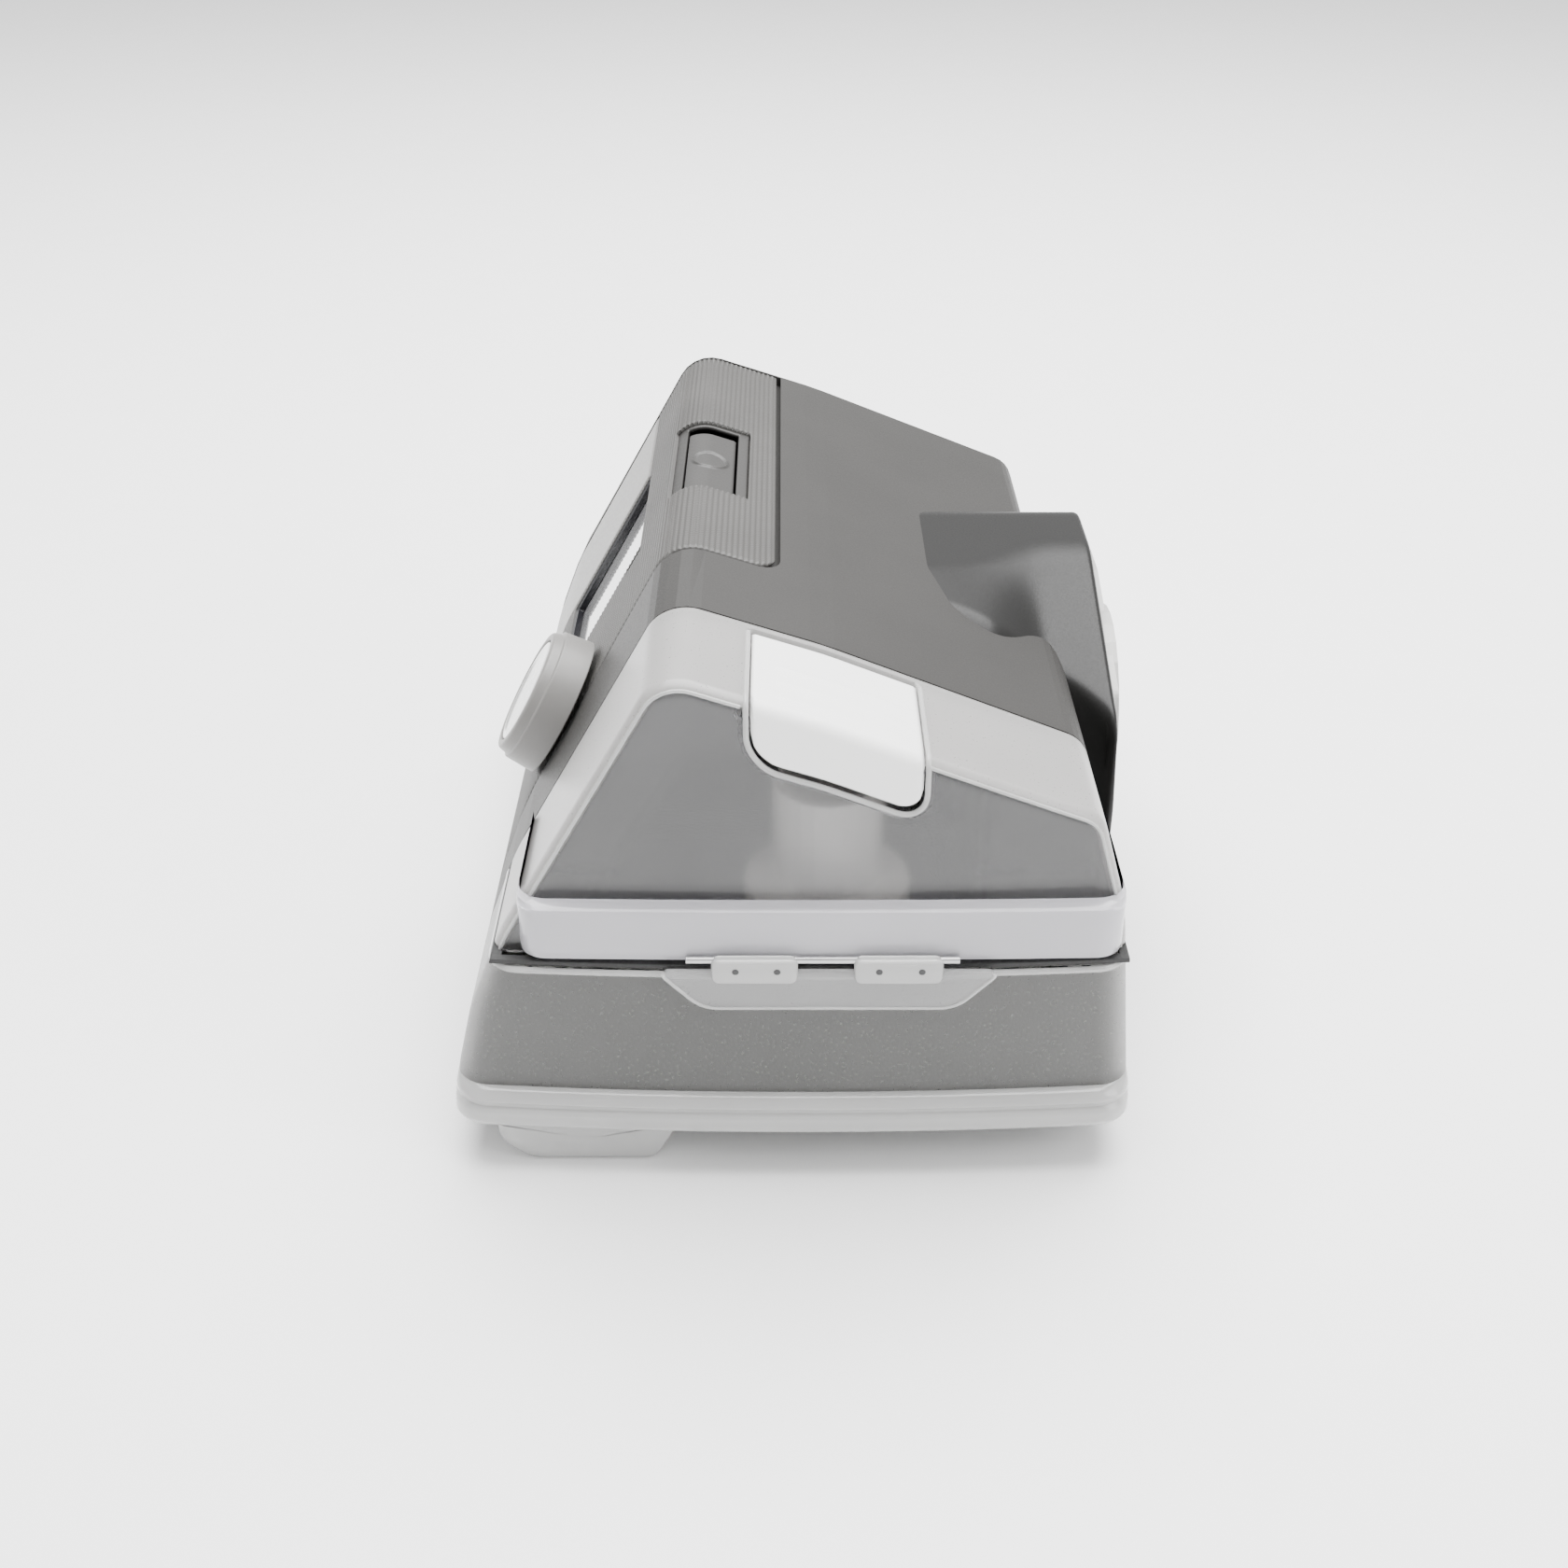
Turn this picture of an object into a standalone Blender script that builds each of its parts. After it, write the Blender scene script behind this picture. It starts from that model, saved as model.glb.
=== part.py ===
"""Bedside ventilator with a heated water tub, built as an assembly of separate pieces.

The object stands on z = 0, its long side runs along X with the water tub at +X,
and its sloping front face looks towards -Y. All sizes below are in millimetres;
the mesh helpers turn them into metres.
"""

import math

import bmesh
import bpy
from mathutils import Matrix, Vector

METRES = 0.001

# Clearances
GAP = 0.3                   # between pieces that touch
SLIDE_GAP = 0.5             # around pieces that slide or turn
TUB_GAP = 1.2               # around the tub inside its dock

# Overall body, seen from the tub end: corners are (y, z, corner radius)
BODY_LEFT = -102.5          # left end of the main unit
BODY_RIGHT = 60.0           # face that the tub closes against
BODY_FLOOR = 4.0            # underside of the base cover
LEFT_LEAN = 0.039           # the left end leans inwards by this share of the height
END_ROUND = 3.5             # rounding of the left end
BODY_WALL = 3.5
BASE_TOP = 14.0             # split between base cover and main housing
FRONT_SHELF = (-62.0, 57.0, 60.0)
APEX = (-27.5, 118.0, 9.5)
BODY_CORNERS = (
    (-75.0, BODY_FLOOR, 3.0),
    (-73.6, 20.0, 60.0),
    (-69.3, 38.0, 60.0),
    FRONT_SHELF,
    APEX,
    (5.0, 107.4, 80.0),
    (60.5, 85.1, 8.0),
    (66.8, 63.0, 60.0),
    (71.2, 18.0, 60.0),
    (71.8, BODY_FLOOR, 3.0),
)

# Front fascia
FASCIA_WALL = 2.0
FASCIA_LEDGE = 3.0
FASCIA_LEFT = -97.0
FASCIA_RIGHT_TOP = 31.0     # right edge on the top slope
FASCIA_RIGHT_LOW = 41.0     # right edge at the foot of the front face
FASCIA_REAR = -4.2          # groove on the top slope
FASCIA_LOW = 35.0           # lower edge of the front face
FASCIA_CORNER = 6.0
PANEL_RIGHT = -52.3         # smooth side panel
PANEL_TOP = 100.0

# Screen, on the front face
SCREEN_X = -27.5
SCREEN_UP = 10.3            # along the slope, from the dial's height
SCREEN_WIDTH = 45.0
SCREEN_HEIGHT = 44.0
SCREEN_LAP = 0.7            # the lens lies behind the fascia by this much all round
LENS_THICK = 1.2
LCD_THICK = 5.0
SENSOR_X = -3.0
SENSOR_UP = 29.3
SENSOR_WIDTH = 1.6
SENSOR_LENGTH = 7.0
BOARD_DEPTH = 10.0          # control board behind the front surface
BOARD_THICK = 1.6

# Dial and home button
DIAL_X = 24.4
DIAL_Z = 72.5
DIAL_RADIUS = 16.0
DIAL_HEIGHT = 9.6
DIAL_LIFT = 1.2
DIAL_WALL = 2.2
DIAL_CAP_RADIUS = 12.4
DIAL_CAP_THICK = 1.6
DIAL_SHAFT_RADIUS = 3.0
DIAL_TRAVEL = 0.8
ENCODER_SIDE = 14.0
HOME_X = 1.5
HOME_UP = -9.0
HOME_RADIUS = 3.2
HOME_TRAVEL = 0.8

# Start/stop button, in a channel over the top edge
BUTTON_LEFT = -42.0
BUTTON_RIGHT = -5.3
BUTTON_FRONT = -27.3
BUTTON_REAR = -14.5
BUTTON_DEEP = 4.2
CHANNEL_LEFT = -48.0
CHANNEL_MARGIN = 3.0
CHANNEL_DEPTH = 0.8

# Dock for the tub
DOCK_BACK = -25.0           # inner end of the dock
DOCK_FLOOR = 10.0
DOCK_ROOF = 84.0
DOCK_REAR = 42.0
FRONT_BAY = 18.0            # room behind the front face for screen, boards and dial
LINER_WALL = 1.5
PORT_Z = 66.0
PORT_RADIUS = 6.5
PORT_WALL = 1.3
PORT_MARGIN = 3.0
PORT_IN_Y = -13.0           # from the blower
PORT_OUT_Y = 31.0           # back to the outlet
SEAL_THICK = 2.4
HEATER_LEFT = -10.0
HEATER_RIGHT = 50.0
HEATER_HALF = 26.0
HEATER_Y = -8.0
HEATER_THICK = 1.6

# Blower
BLOWER_X = -61.0
BLOWER_Y = 8.0
VOLUTE_RADIUS = 29.0
VOLUTE_WALL = 2.0
VOLUTE_HALF = 9.5           # height of each half, either side of the port centre
IMPELLER_RADIUS = 22.5
IMPELLER_BLADES = 9
IMPELLER_HEIGHT = 10.0
INTAKE_RADIUS = 12.0
MOTOR_RADIUS = 20.0
MOTOR_HEIGHT = 26.0
SHAFT_RADIUS = 2.0
BEARING_RADIUS = 6.0
BEARING_THICK = 4.0
MAGNET_RADIUS = 9.0
MOUNT_RADIUS = 5.0
MOTOR_WALL = 1.6
BLADE_HUB = 8.0
BLADE_SWEEP = 0.55          # radians that a blade leans back from hub to tip
BLADE_THICK = 1.6
FOAM_HALF_LENGTH = 29.0
FOAM_HALF_WIDTH = 22.0
FOAM_HEIGHT = 11.0

# Outlet
OUTLET_X = 2.0
OUTLET_Z = 62.0
OUTLET_BACK = 71.6          # rear face of the outlet housing
CONNECTOR_BACK = 74.7
CONNECTOR_BOSS = 24.5
CONNECTOR_SOCKET = 20.0
SPIGOT_RADIUS = 11.0        # 22 mm hose fitting
SPIGOT_WALL = 1.6
SPIGOT_SINK = 1.0
SOCKET_DEPTH = 16.7
SOCKET_WALL = 2.4
PLENUM_HALF = 16.0
PLENUM_WALL = 1.6

# Outlet housing, a horn that grows out of the top slope: at each y, the x where its level
# top ends, its shoulder (x, z) and its side (x, z)
HORN_SECTIONS = (
    (22.0, 0.0, 12.0, 95.0, 16.0, 80.0),
    (43.5, -4.0, 23.5, 93.0, 30.0, 78.0),
    (58.5, -12.0, 22.0, 83.5, 40.0, 66.0),
    (OUTLET_BACK, -14.0, 42.0, 78.5, 46.5, 58.0),
)
HORN_LEFT = -44.0
HORN_LOW = 34.0
HORN_TOP = 97.0
HORN_WALL = 2.5

# Left end
FILTER_FRONT = 10.0
FILTER_REAR = 50.0
FILTER_LOW = 28.0
FILTER_TOP = 60.0
DOOR_THICK = 2.0
SD_Y = -36.0
SD_Z = 35.0
SD_DOOR_WIDTH = 29.0
SD_DOOR_HEIGHT = 15.0
SD_WIDTH = 24.0
SD_LENGTH = 32.0
SD_THICK = 2.1
SD_TRAVEL = 1.2

# Rear face
JACK_X = -82.0
JACK_Z = 27.0
JACK_WIDTH = 14.0
JACK_HEIGHT = 12.0
JACK_BORE = 4.2
JACK_DEPTH = 11.0
CLIP_WIDTH = 18.0
CLIP_LOW = 36.0
CLIP_TOP = 47.0
ADAPTER_LEFT = -69.0
ADAPTER_RIGHT = -47.0
ADAPTER_LOW = 20.0
ADAPTER_TOP = 40.0
FLAP_THICK = 1.8

# Tub
TUB_LEFT = -22.0
TUB_WALL = 2.0
TUB_SPLIT = 52.3            # top of the tub base
TUB_SEAL = 1.1
TUB_END = 98.5              # middle of the end panel
TUB_END_BULGE = 5.0         # how much the end panel bows in plan
TUB_LOW = 11.0              # underside of the tub
TUB_RIM_TOP = 20.5
TUB_RIM_END = 102.14
RIM_PROUD = 0.2
TUB_FOOT_FRONT = -65.5
TUB_FOOT_REAR = -25.5
TUB_FOOT_END = 97.0
LID_END = 94.5
LID_END_BULGE = 3.5
FLANGE_TOP = 67.5
FLANGE_END = 98.5
FLANGE_FRONT = -57.5
FLANGE_REAR = 66.5
GRIP_FRONT = -10.0
GRIP_REAR = 24.5
GRIP_LEFT = 63.5
GRIP_DROP = 15.0            # how far the grip pad hangs down the lid's end
GRIP_THICK = 2.0
GRIP_TRAVEL = 0.8
HINGE_Z = 51.0
HINGE_PIN = 1.3
AIR_TUBE_X = 74.0
AIR_TUBE_Y = 6.0
AIR_TUBE_RADIUS = 11.5
AIR_RING_RADIUS = 17.5
AIR_TUBE_WALL = 2.0
AIR_TUBE_TOP = 84.0
AIR_TUBE_FOOT = 62.0
AIR_RING_TOP = 60.0
AIR_RING_LOW = 56.0
GRIP_BACKING_LOW = 86.0     # solid lid behind the grip pad above this height
LIP_FRONT_REACH = 14.0      # finger lip, beyond the grip pad's front edge
LIP_REAR_REACH = 9.0
LIP_THICK = 2.0
LIP_DROP = 7.0

# Feet and screws
FOOT_RADIUS = 7.0
FOOT_STEM = 3.0
FOOT_PLACES = ((-84.0, -54.0), (-84.0, 54.0), (44.0, 56.0), (38.0, -56.0))
SCREW_PLACES = ((-90.0, -66.8), (-90.0, 64.6), (49.0, 64.6), (49.0, -66.8))
SCREW_RADIUS = 1.2
SCREW_HEAD = 3.0
SCREW_HEAD_HEIGHT = 2.2
POST_RADIUS = 4.0
POST_TOP = 24.0

ROUND_STEPS = 24
SMOOTH_ANGLE = 30.0         # edges sharper than this stay sharp

# Colour, roughness and metallic value of each finish
FINISHES = {
    "dark_plastic": ((0.115, 0.110, 0.105, 1.0), 0.55, 0.0),
    "ribbed_grey": ((0.19, 0.185, 0.175, 1.0), 0.50, 0.0),
    "light_grey": ((0.52, 0.51, 0.49, 1.0), 0.45, 0.0),
    "clear": ((0.78, 0.77, 0.75, 1.0), 0.20, 0.0),
    "smoke": ((0.42, 0.41, 0.40, 1.0), 0.35, 0.0),
    "white_soft": ((0.88, 0.88, 0.87, 1.0), 0.60, 0.0),
    "rubber": ((0.05, 0.05, 0.05, 1.0), 0.85, 0.0),
    "screen": ((0.02, 0.02, 0.025, 1.0), 0.08, 0.0),
    "board": ((0.03, 0.16, 0.07, 1.0), 0.50, 0.0),
    "steel": ((0.60, 0.60, 0.60, 1.0), 0.30, 1.0),
    "copper": ((0.65, 0.36, 0.20, 1.0), 0.35, 1.0),
    "foam": ((0.30, 0.30, 0.31, 1.0), 0.95, 0.0),
    "filter_white": ((0.80, 0.82, 0.85, 1.0), 0.95, 0.0),
    "black_plastic": ((0.03, 0.03, 0.03, 1.0), 0.50, 0.0),
}


# ---------------------------------------------------------------- scene and helpers

for old in list(bpy.data.objects):
    bpy.data.objects.remove(old, do_unlink=True)

parts = bpy.data.collections.new("ventilator")
cutters = bpy.data.collections.new("cutters")
bpy.context.scene.collection.children.link(parts)
bpy.context.scene.collection.children.link(cutters)

AXIS_FRAMES = {
    "X": Matrix(((0, 0, 1), (1, 0, 0), (0, 1, 0))).to_4x4(),
    "Y": Matrix(((1, 0, 0), (0, 0, -1), (0, 1, 0))).to_4x4(),
    "Z": Matrix.Identity(4),
}


def place(obj, frame):
    """Carry a mesh from local millimetres along a frame given in metres."""
    obj.data.transform(frame)
    return obj


def from_bmesh(name, bm):
    """Close a bmesh into an object of the parts collection."""
    bmesh.ops.recalc_face_normals(bm, faces=bm.faces)
    if bm.calc_volume(signed=True) < 0:
        bmesh.ops.reverse_faces(bm, faces=bm.faces)
    mesh = bpy.data.meshes.new(name)
    bm.to_mesh(mesh)
    bm.free()
    obj = bpy.data.objects.new(name, mesh)
    parts.objects.link(obj)
    return obj


def prism(name, outline, axis, low, high, holes=()):
    """A flat outline given thickness along an axis; X outlines are (y, z), Y outlines (x, z)."""
    curve = bpy.data.curves.new(name, "CURVE")
    curve.dimensions = "2D"
    curve.fill_mode = "BOTH"
    curve.extrude = (high - low) / 2 * METRES
    for ring in (outline, *holes):
        spline = curve.splines.new("POLY")
        spline.points.add(len(ring) - 1)
        for point, (u, v) in zip(spline.points, ring):
            point.co = (u * METRES, v * METRES, 0.0, 1.0)
        spline.use_cyclic_u = True
    guide = bpy.data.objects.new(name + "_outline", curve)
    parts.objects.link(guide)
    depsgraph = bpy.context.evaluated_depsgraph_get()
    mesh = bpy.data.meshes.new_from_object(guide.evaluated_get(depsgraph))
    bpy.data.objects.remove(guide, do_unlink=True)
    middle = (low + high) / 2 * METRES
    if axis == "Y":
        middle = -middle
    bm = bmesh.new()
    bm.from_mesh(mesh)
    bmesh.ops.remove_doubles(bm, verts=bm.verts, dist=0.000001)
    bm.transform(AXIS_FRAMES[axis] @ Matrix.Translation((0, 0, middle)))
    return from_bmesh(name, bm)


def box(name, low, high, edge=0.0):
    """A block between two corners, with its edges rounded by edge."""
    bm = bmesh.new()
    bmesh.ops.create_cube(bm, size=1.0)
    size = [(b - a) * METRES for a, b in zip(low, high)]
    centre = [(a + b) / 2 * METRES for a, b in zip(low, high)]
    bmesh.ops.scale(bm, vec=size, verts=bm.verts)
    bmesh.ops.translate(bm, vec=centre, verts=bm.verts)
    obj = from_bmesh(name, bm)
    if edge > 0:
        bevel = obj.modifiers.new("rounded", "BEVEL")
        bevel.width = edge * METRES
        bevel.segments = 2
        bevel.limit_method = "ANGLE"
    return obj


def cylinder(name, centre, radius, length, axis, steps=ROUND_STEPS):
    """A round bar centred on a point, along X, Y, Z or a given frame."""
    bm = bmesh.new()
    bmesh.ops.create_cone(bm, cap_ends=True, segments=steps, radius1=radius * METRES,
                          radius2=radius * METRES, depth=length * METRES)
    turn = AXIS_FRAMES[axis] if isinstance(axis, str) else axis
    bm.transform(Matrix.Translation(Vector(centre) * METRES) @ turn)
    return from_bmesh(name, bm)


def turned(name, outline, centre, frame, steps=ROUND_STEPS, closed=False):
    """A lathe profile of (radius, height), top to bottom down its outer side, spun by a Screw."""
    bm = bmesh.new()
    points = [bm.verts.new((r * METRES, 0.0, h * METRES)) for r, h in outline]
    for start, end in zip(points, points[1:]):
        bm.edges.new((start, end))
    if closed:
        bm.edges.new((points[-1], points[0]))
    mesh = bpy.data.meshes.new(name)
    bm.to_mesh(mesh)
    bm.free()
    obj = bpy.data.objects.new(name, mesh)
    parts.objects.link(obj)
    screw = obj.modifiers.new("turned", "SCREW")
    screw.steps = steps
    screw.render_steps = steps
    screw.use_merge_vertices = True
    screw.merge_threshold = 0.00001
    obj.matrix_world = Matrix.Translation(Vector(centre) * METRES) @ frame
    return obj


def combine(target, tool, operation):
    """Boolean a tool object into a target; the tool becomes a cutter."""
    modifier = target.modifiers.new(tool.name, "BOOLEAN")
    modifier.operation = operation
    modifier.solver = "EXACT"
    modifier.object = tool
    if tool.name in parts.objects:
        parts.objects.unlink(tool)
        cutters.objects.link(tool)
    tool.hide_render = True
    tool.display_type = "WIRE"
    return target


def cut(target, *tools):
    for tool in tools:
        combine(target, tool, "DIFFERENCE")
    return target


def join(target, *tools):
    for tool in tools:
        combine(target, tool, "UNION")
    return target


def keep(target, *tools):
    for tool in tools:
        combine(target, tool, "INTERSECT")
    return target


def set_origin(obj, point):
    """Move an object's origin to a point, in millimetres, with the shape left where it is."""
    place_now = Vector(point) * METRES
    obj.data.transform(Matrix.Translation(-place_now))
    obj.location = place_now
    return obj


def finish(obj, name):
    """Give the object its own material."""
    colour, roughness, metallic = FINISHES[name]
    material = bpy.data.materials.new(obj.name + "_" + name)
    material.use_nodes = True
    shader = material.node_tree.nodes["Principled BSDF"]
    shader.inputs["Base Color"].default_value = colour
    shader.inputs["Roughness"].default_value = roughness
    shader.inputs["Metallic"].default_value = metallic
    obj.data.materials.clear()
    obj.data.materials.append(material)
    return obj


def lean(obj, reach):
    """Lean inwards with height, as the whole left end does, every vertex left of reach."""
    for vertex in obj.data.vertices:
        if vertex.co.x < reach * METRES:
            vertex.co.x += LEFT_LEAN * vertex.co.z
    return obj


# ---------------------------------------------------------------- outlines

def inset_corners(corners, inset):
    """Move every side of a clockwise outline inwards by inset and shrink its corner radii."""
    count = len(corners)
    result = []
    for i in range(count):
        before = Vector(corners[i - 1][:2])
        here = Vector(corners[i][:2])
        after = Vector(corners[(i + 1) % count][:2])
        along_in = (here - before).normalized()
        along_out = (after - here).normalized()
        normal_in = Vector((along_in.y, -along_in.x))
        normal_out = Vector((along_out.y, -along_out.x))
        half = (normal_in + normal_out).normalized()
        moved = here + half * (inset / half.dot(normal_in))
        turn = along_in.x * along_out.y - along_in.y * along_out.x
        radius = corners[i][2]
        if radius > 0:
            radius = max(radius - inset, 0.6) if turn < 0 else radius + inset
        result.append((moved.x, moved.y, radius))
    return result


def rounded(corners, step_deg=16.0, fixed_steps=None):
    """Points of an outline whose corners are arcs; each arc is limited by its sides.

    fixed_steps gives every corner that number of steps, so that sections can be lofted.
    """
    count = len(corners)
    points = []
    for i in range(count):
        before = Vector(corners[i - 1][:2])
        here = Vector(corners[i][:2])
        after = Vector(corners[(i + 1) % count][:2])
        radius = corners[i][2]
        into = (before - here).normalized()
        out = (after - here).normalized()
        angle = into.angle(out)
        if radius <= 0 or angle > math.radians(179.5):
            points.append((here.x, here.y))
            continue
        reach = radius / math.tan(angle / 2)
        limit = 0.48 * min((before - here).length, (after - here).length)
        if reach > limit:
            radius *= limit / reach
            reach = limit
        centre = here + (into + out).normalized() * (radius / math.sin(angle / 2))
        start = here + into * reach - centre
        sweep = math.pi - angle
        if into.x * out.y - into.y * out.x > 0:
            sweep = -sweep
        steps = fixed_steps or max(1, math.ceil(abs(math.degrees(sweep)) / step_deg))
        for k in range(steps + 1):
            spin = Matrix.Rotation(sweep * k / steps, 2)
            points.append(tuple(centre + spin @ start))
    return points


def body_outline(inset):
    return rounded(inset_corners(BODY_CORNERS, inset))


def line_at(corner_a, corner_b, z):
    """The y of the line through two corners at height z."""
    share = (z - corner_a[1]) / (corner_b[1] - corner_a[1])
    return corner_a[0] + (corner_b[0] - corner_a[0]) * share


def dock_corners(inset):
    """Clear section of the dock: it follows the front face, with a level roof and floor."""
    bay = inset_corners(BODY_CORNERS, FRONT_BAY)
    low, shelf, top = bay[2], bay[3], bay[4]
    corners = (
        (line_at(low, shelf, DOCK_FLOOR), DOCK_FLOOR, 3.0),
        (shelf[0], shelf[1], 30.0),
        (line_at(shelf, top, DOCK_ROOF), DOCK_ROOF, 8.0),
        (DOCK_REAR, DOCK_ROOF, 8.0),
        (DOCK_REAR, DOCK_FLOOR, 3.0),
    )
    return inset_corners(corners, inset)


def circle(centre_u, centre_v, radius, steps=ROUND_STEPS):
    return [(centre_u + radius * math.cos(2 * math.pi * k / steps),
             centre_v + radius * math.sin(2 * math.pi * k / steps)) for k in range(steps)]


def rectangle(u0, v0, u1, v1, corner=0.0):
    """Clockwise rectangle with rounded corners."""
    return rounded(((u0, v0, corner), (u0, v1, corner), (u1, v1, corner), (u1, v0, corner)))


# Frame of the front face: x along the body, y up the slope, z out of the face
front_rise = Vector((0.0, APEX[0] - FRONT_SHELF[0], APEX[1] - FRONT_SHELF[1])).normalized()
front_out = Vector((1.0, 0.0, 0.0)).cross(front_rise)
front_place = Vector((0.0, line_at(FRONT_SHELF, APEX, DIAL_Z), DIAL_Z)) * METRES
FRONT = Matrix.Translation(front_place) @ Matrix(
    ((1.0, 0.0, 0.0), front_rise, front_out)).transposed().to_4x4()


def front_point(x, up, out):
    """A point of the front face's frame, in millimetres of the object."""
    return (FRONT @ (Vector((x, up, out)) * METRES)) / METRES


# ---------------------------------------------------------------- main unit shells


def body_block(name, inset, left, right, round_edge=0.0):
    """The body's section, inset all round, between two x stations; the body's own left end leans."""
    block = prism(name, body_outline(inset), "X", left, right)
    if left <= BODY_LEFT + BODY_WALL:
        lean(block, left + 1.0)
    if round_edge > 0:
        bevel = block.modifiers.new("end_round", "BEVEL")
        bevel.width = round_edge * METRES
        bevel.segments = 3
        bevel.limit_method = "ANGLE"
        bevel.angle_limit = math.radians(50)
    return block


def slab(name, left, right, low, top):
    """A cutter across the whole depth of the object."""
    return box(name, (left, -120.0, low), (right, 120.0, top))


def half_body(name, low, top):
    """Outer body between two heights, cut square at the tub's face."""
    block = body_block(name, 0.0, BODY_LEFT, BODY_RIGHT + 20.0, END_ROUND)
    return cut(block,
               slab(name + "_end", BODY_RIGHT, BODY_RIGHT + 60.0, -20.0, 200.0),
               slab(name + "_below", BODY_LEFT - 20.0, BODY_RIGHT + 60.0, -40.0, low),
               slab(name + "_above", BODY_LEFT - 20.0, BODY_RIGHT + 60.0, top, 260.0))


def fascia_plan(grow):
    """Plan of the fascia: square at the left, with a rounded corner at the right rear."""
    return rounded((
        (FASCIA_LEFT - grow, -150.0, 0.0),
        (FASCIA_LEFT - grow, FASCIA_REAR + grow, 0.0),
        (FASCIA_RIGHT_TOP + grow, FASCIA_REAR + grow, FASCIA_CORNER),
        (FASCIA_RIGHT_TOP + grow, APEX[0], 30.0),
        (FASCIA_RIGHT_LOW + grow, BODY_CORNERS[0][0], 0.0),
        (FASCIA_RIGHT_LOW + grow, -150.0, 0.0)))


def fascia_region(name, inset_outer, inset_inner, grow):
    """The fascia's share of the body's skin, between two depths, grown by grow all round."""
    region = body_block(name, inset_outer, BODY_LEFT - 10.0, BODY_RIGHT + 10.0)
    cut(region, body_block(name + "_core", inset_inner, BODY_LEFT - 20.0, BODY_RIGHT + 20.0))
    keep(region, prism(name + "_plan", fascia_plan(grow), "Z", -10.0, 160.0))
    cut(region, slab(name + "_foot", BODY_LEFT - 60.0, BODY_RIGHT + 60.0, -60.0, FASCIA_LOW - grow))
    return region


def front_block(name, left, right, low, top, deep, proud, corner=1.5):
    """A block in the front face's frame, for windows and for what sits in them."""
    block = prism(name, rectangle(left, low, right, top, corner), "Z", -deep, proud)
    return place(block, FRONT)


# Base cover: a tray with posts over the screws and holes for the feet
base_cover = half_body("base_cover", BODY_FLOOR - 1.0, BASE_TOP)
base_floor = BODY_FLOOR + BODY_WALL
cut(base_cover,
    body_block("base_hollow", BODY_WALL, BODY_LEFT + BODY_WALL, BODY_RIGHT - BODY_WALL),
    prism("base_dock_mouth", rounded(dock_corners(-LINER_WALL - GAP)), "X", BODY_RIGHT - 20.0,
          BODY_RIGHT + 20.0))
head_room = BODY_FLOOR + SCREW_HEAD_HEIGHT + 2 * GAP
for i, (x, y) in enumerate(SCREW_PLACES):
    post_length = BASE_TOP - BODY_FLOOR - 1.0
    join(base_cover, cylinder(f"base_post_{i}", (x, y, BODY_FLOOR + 0.5 + post_length / 2), POST_RADIUS,
                              post_length, "Z", 20))
for i, (x, y) in enumerate(SCREW_PLACES):
    cut(base_cover,
        cylinder(f"base_head_{i}", (x, y, head_room - 10.0), SCREW_HEAD + GAP, 20.0, "Z", 20),
        cylinder(f"base_hole_{i}", (x, y, BASE_TOP), SCREW_RADIUS + GAP, 30.0, "Z", 16))
for i, (x, y) in enumerate(FOOT_PLACES):
    cut(base_cover, cylinder(f"foot_hole_{i}", (x, y, BODY_FLOOR), FOOT_STEM + GAP, 20.0, "Z", 16))
finish(base_cover, "dark_plastic")

# Main housing: a hollow shell with a recess for the fascia and openings for what passes through
main_housing = half_body("main_housing", BASE_TOP + GAP, 200.0)
housing_hollow = body_block("housing_hollow", BODY_WALL, BODY_LEFT + BODY_WALL, BODY_RIGHT - BODY_WALL)
cut(main_housing, housing_hollow,
    prism("dock_mouth", rounded(dock_corners(-LINER_WALL - GAP)), "X", BODY_RIGHT - 20.0, BODY_RIGHT + 20.0),
    fascia_region("fascia_recess", -5.0, FASCIA_WALL + GAP, GAP),
    fascia_region("fascia_window", -5.0, BODY_WALL + 3.0, -FASCIA_LEDGE))
for i, (x, y) in enumerate(SCREW_PLACES):
    post_low = BASE_TOP + GAP
    join(main_housing, cylinder(f"housing_post_{i}", (x, y, (post_low + POST_TOP) / 2), POST_RADIUS,
                                POST_TOP - post_low, "Z", 20))
for i, (x, y) in enumerate(SCREW_PLACES):
    cut(main_housing, cylinder(f"housing_hole_{i}", (x, y, BASE_TOP), SCREW_RADIUS + GAP,
                               2 * (POST_TOP - BASE_TOP) - 3.0, "Z", 16))
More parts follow.
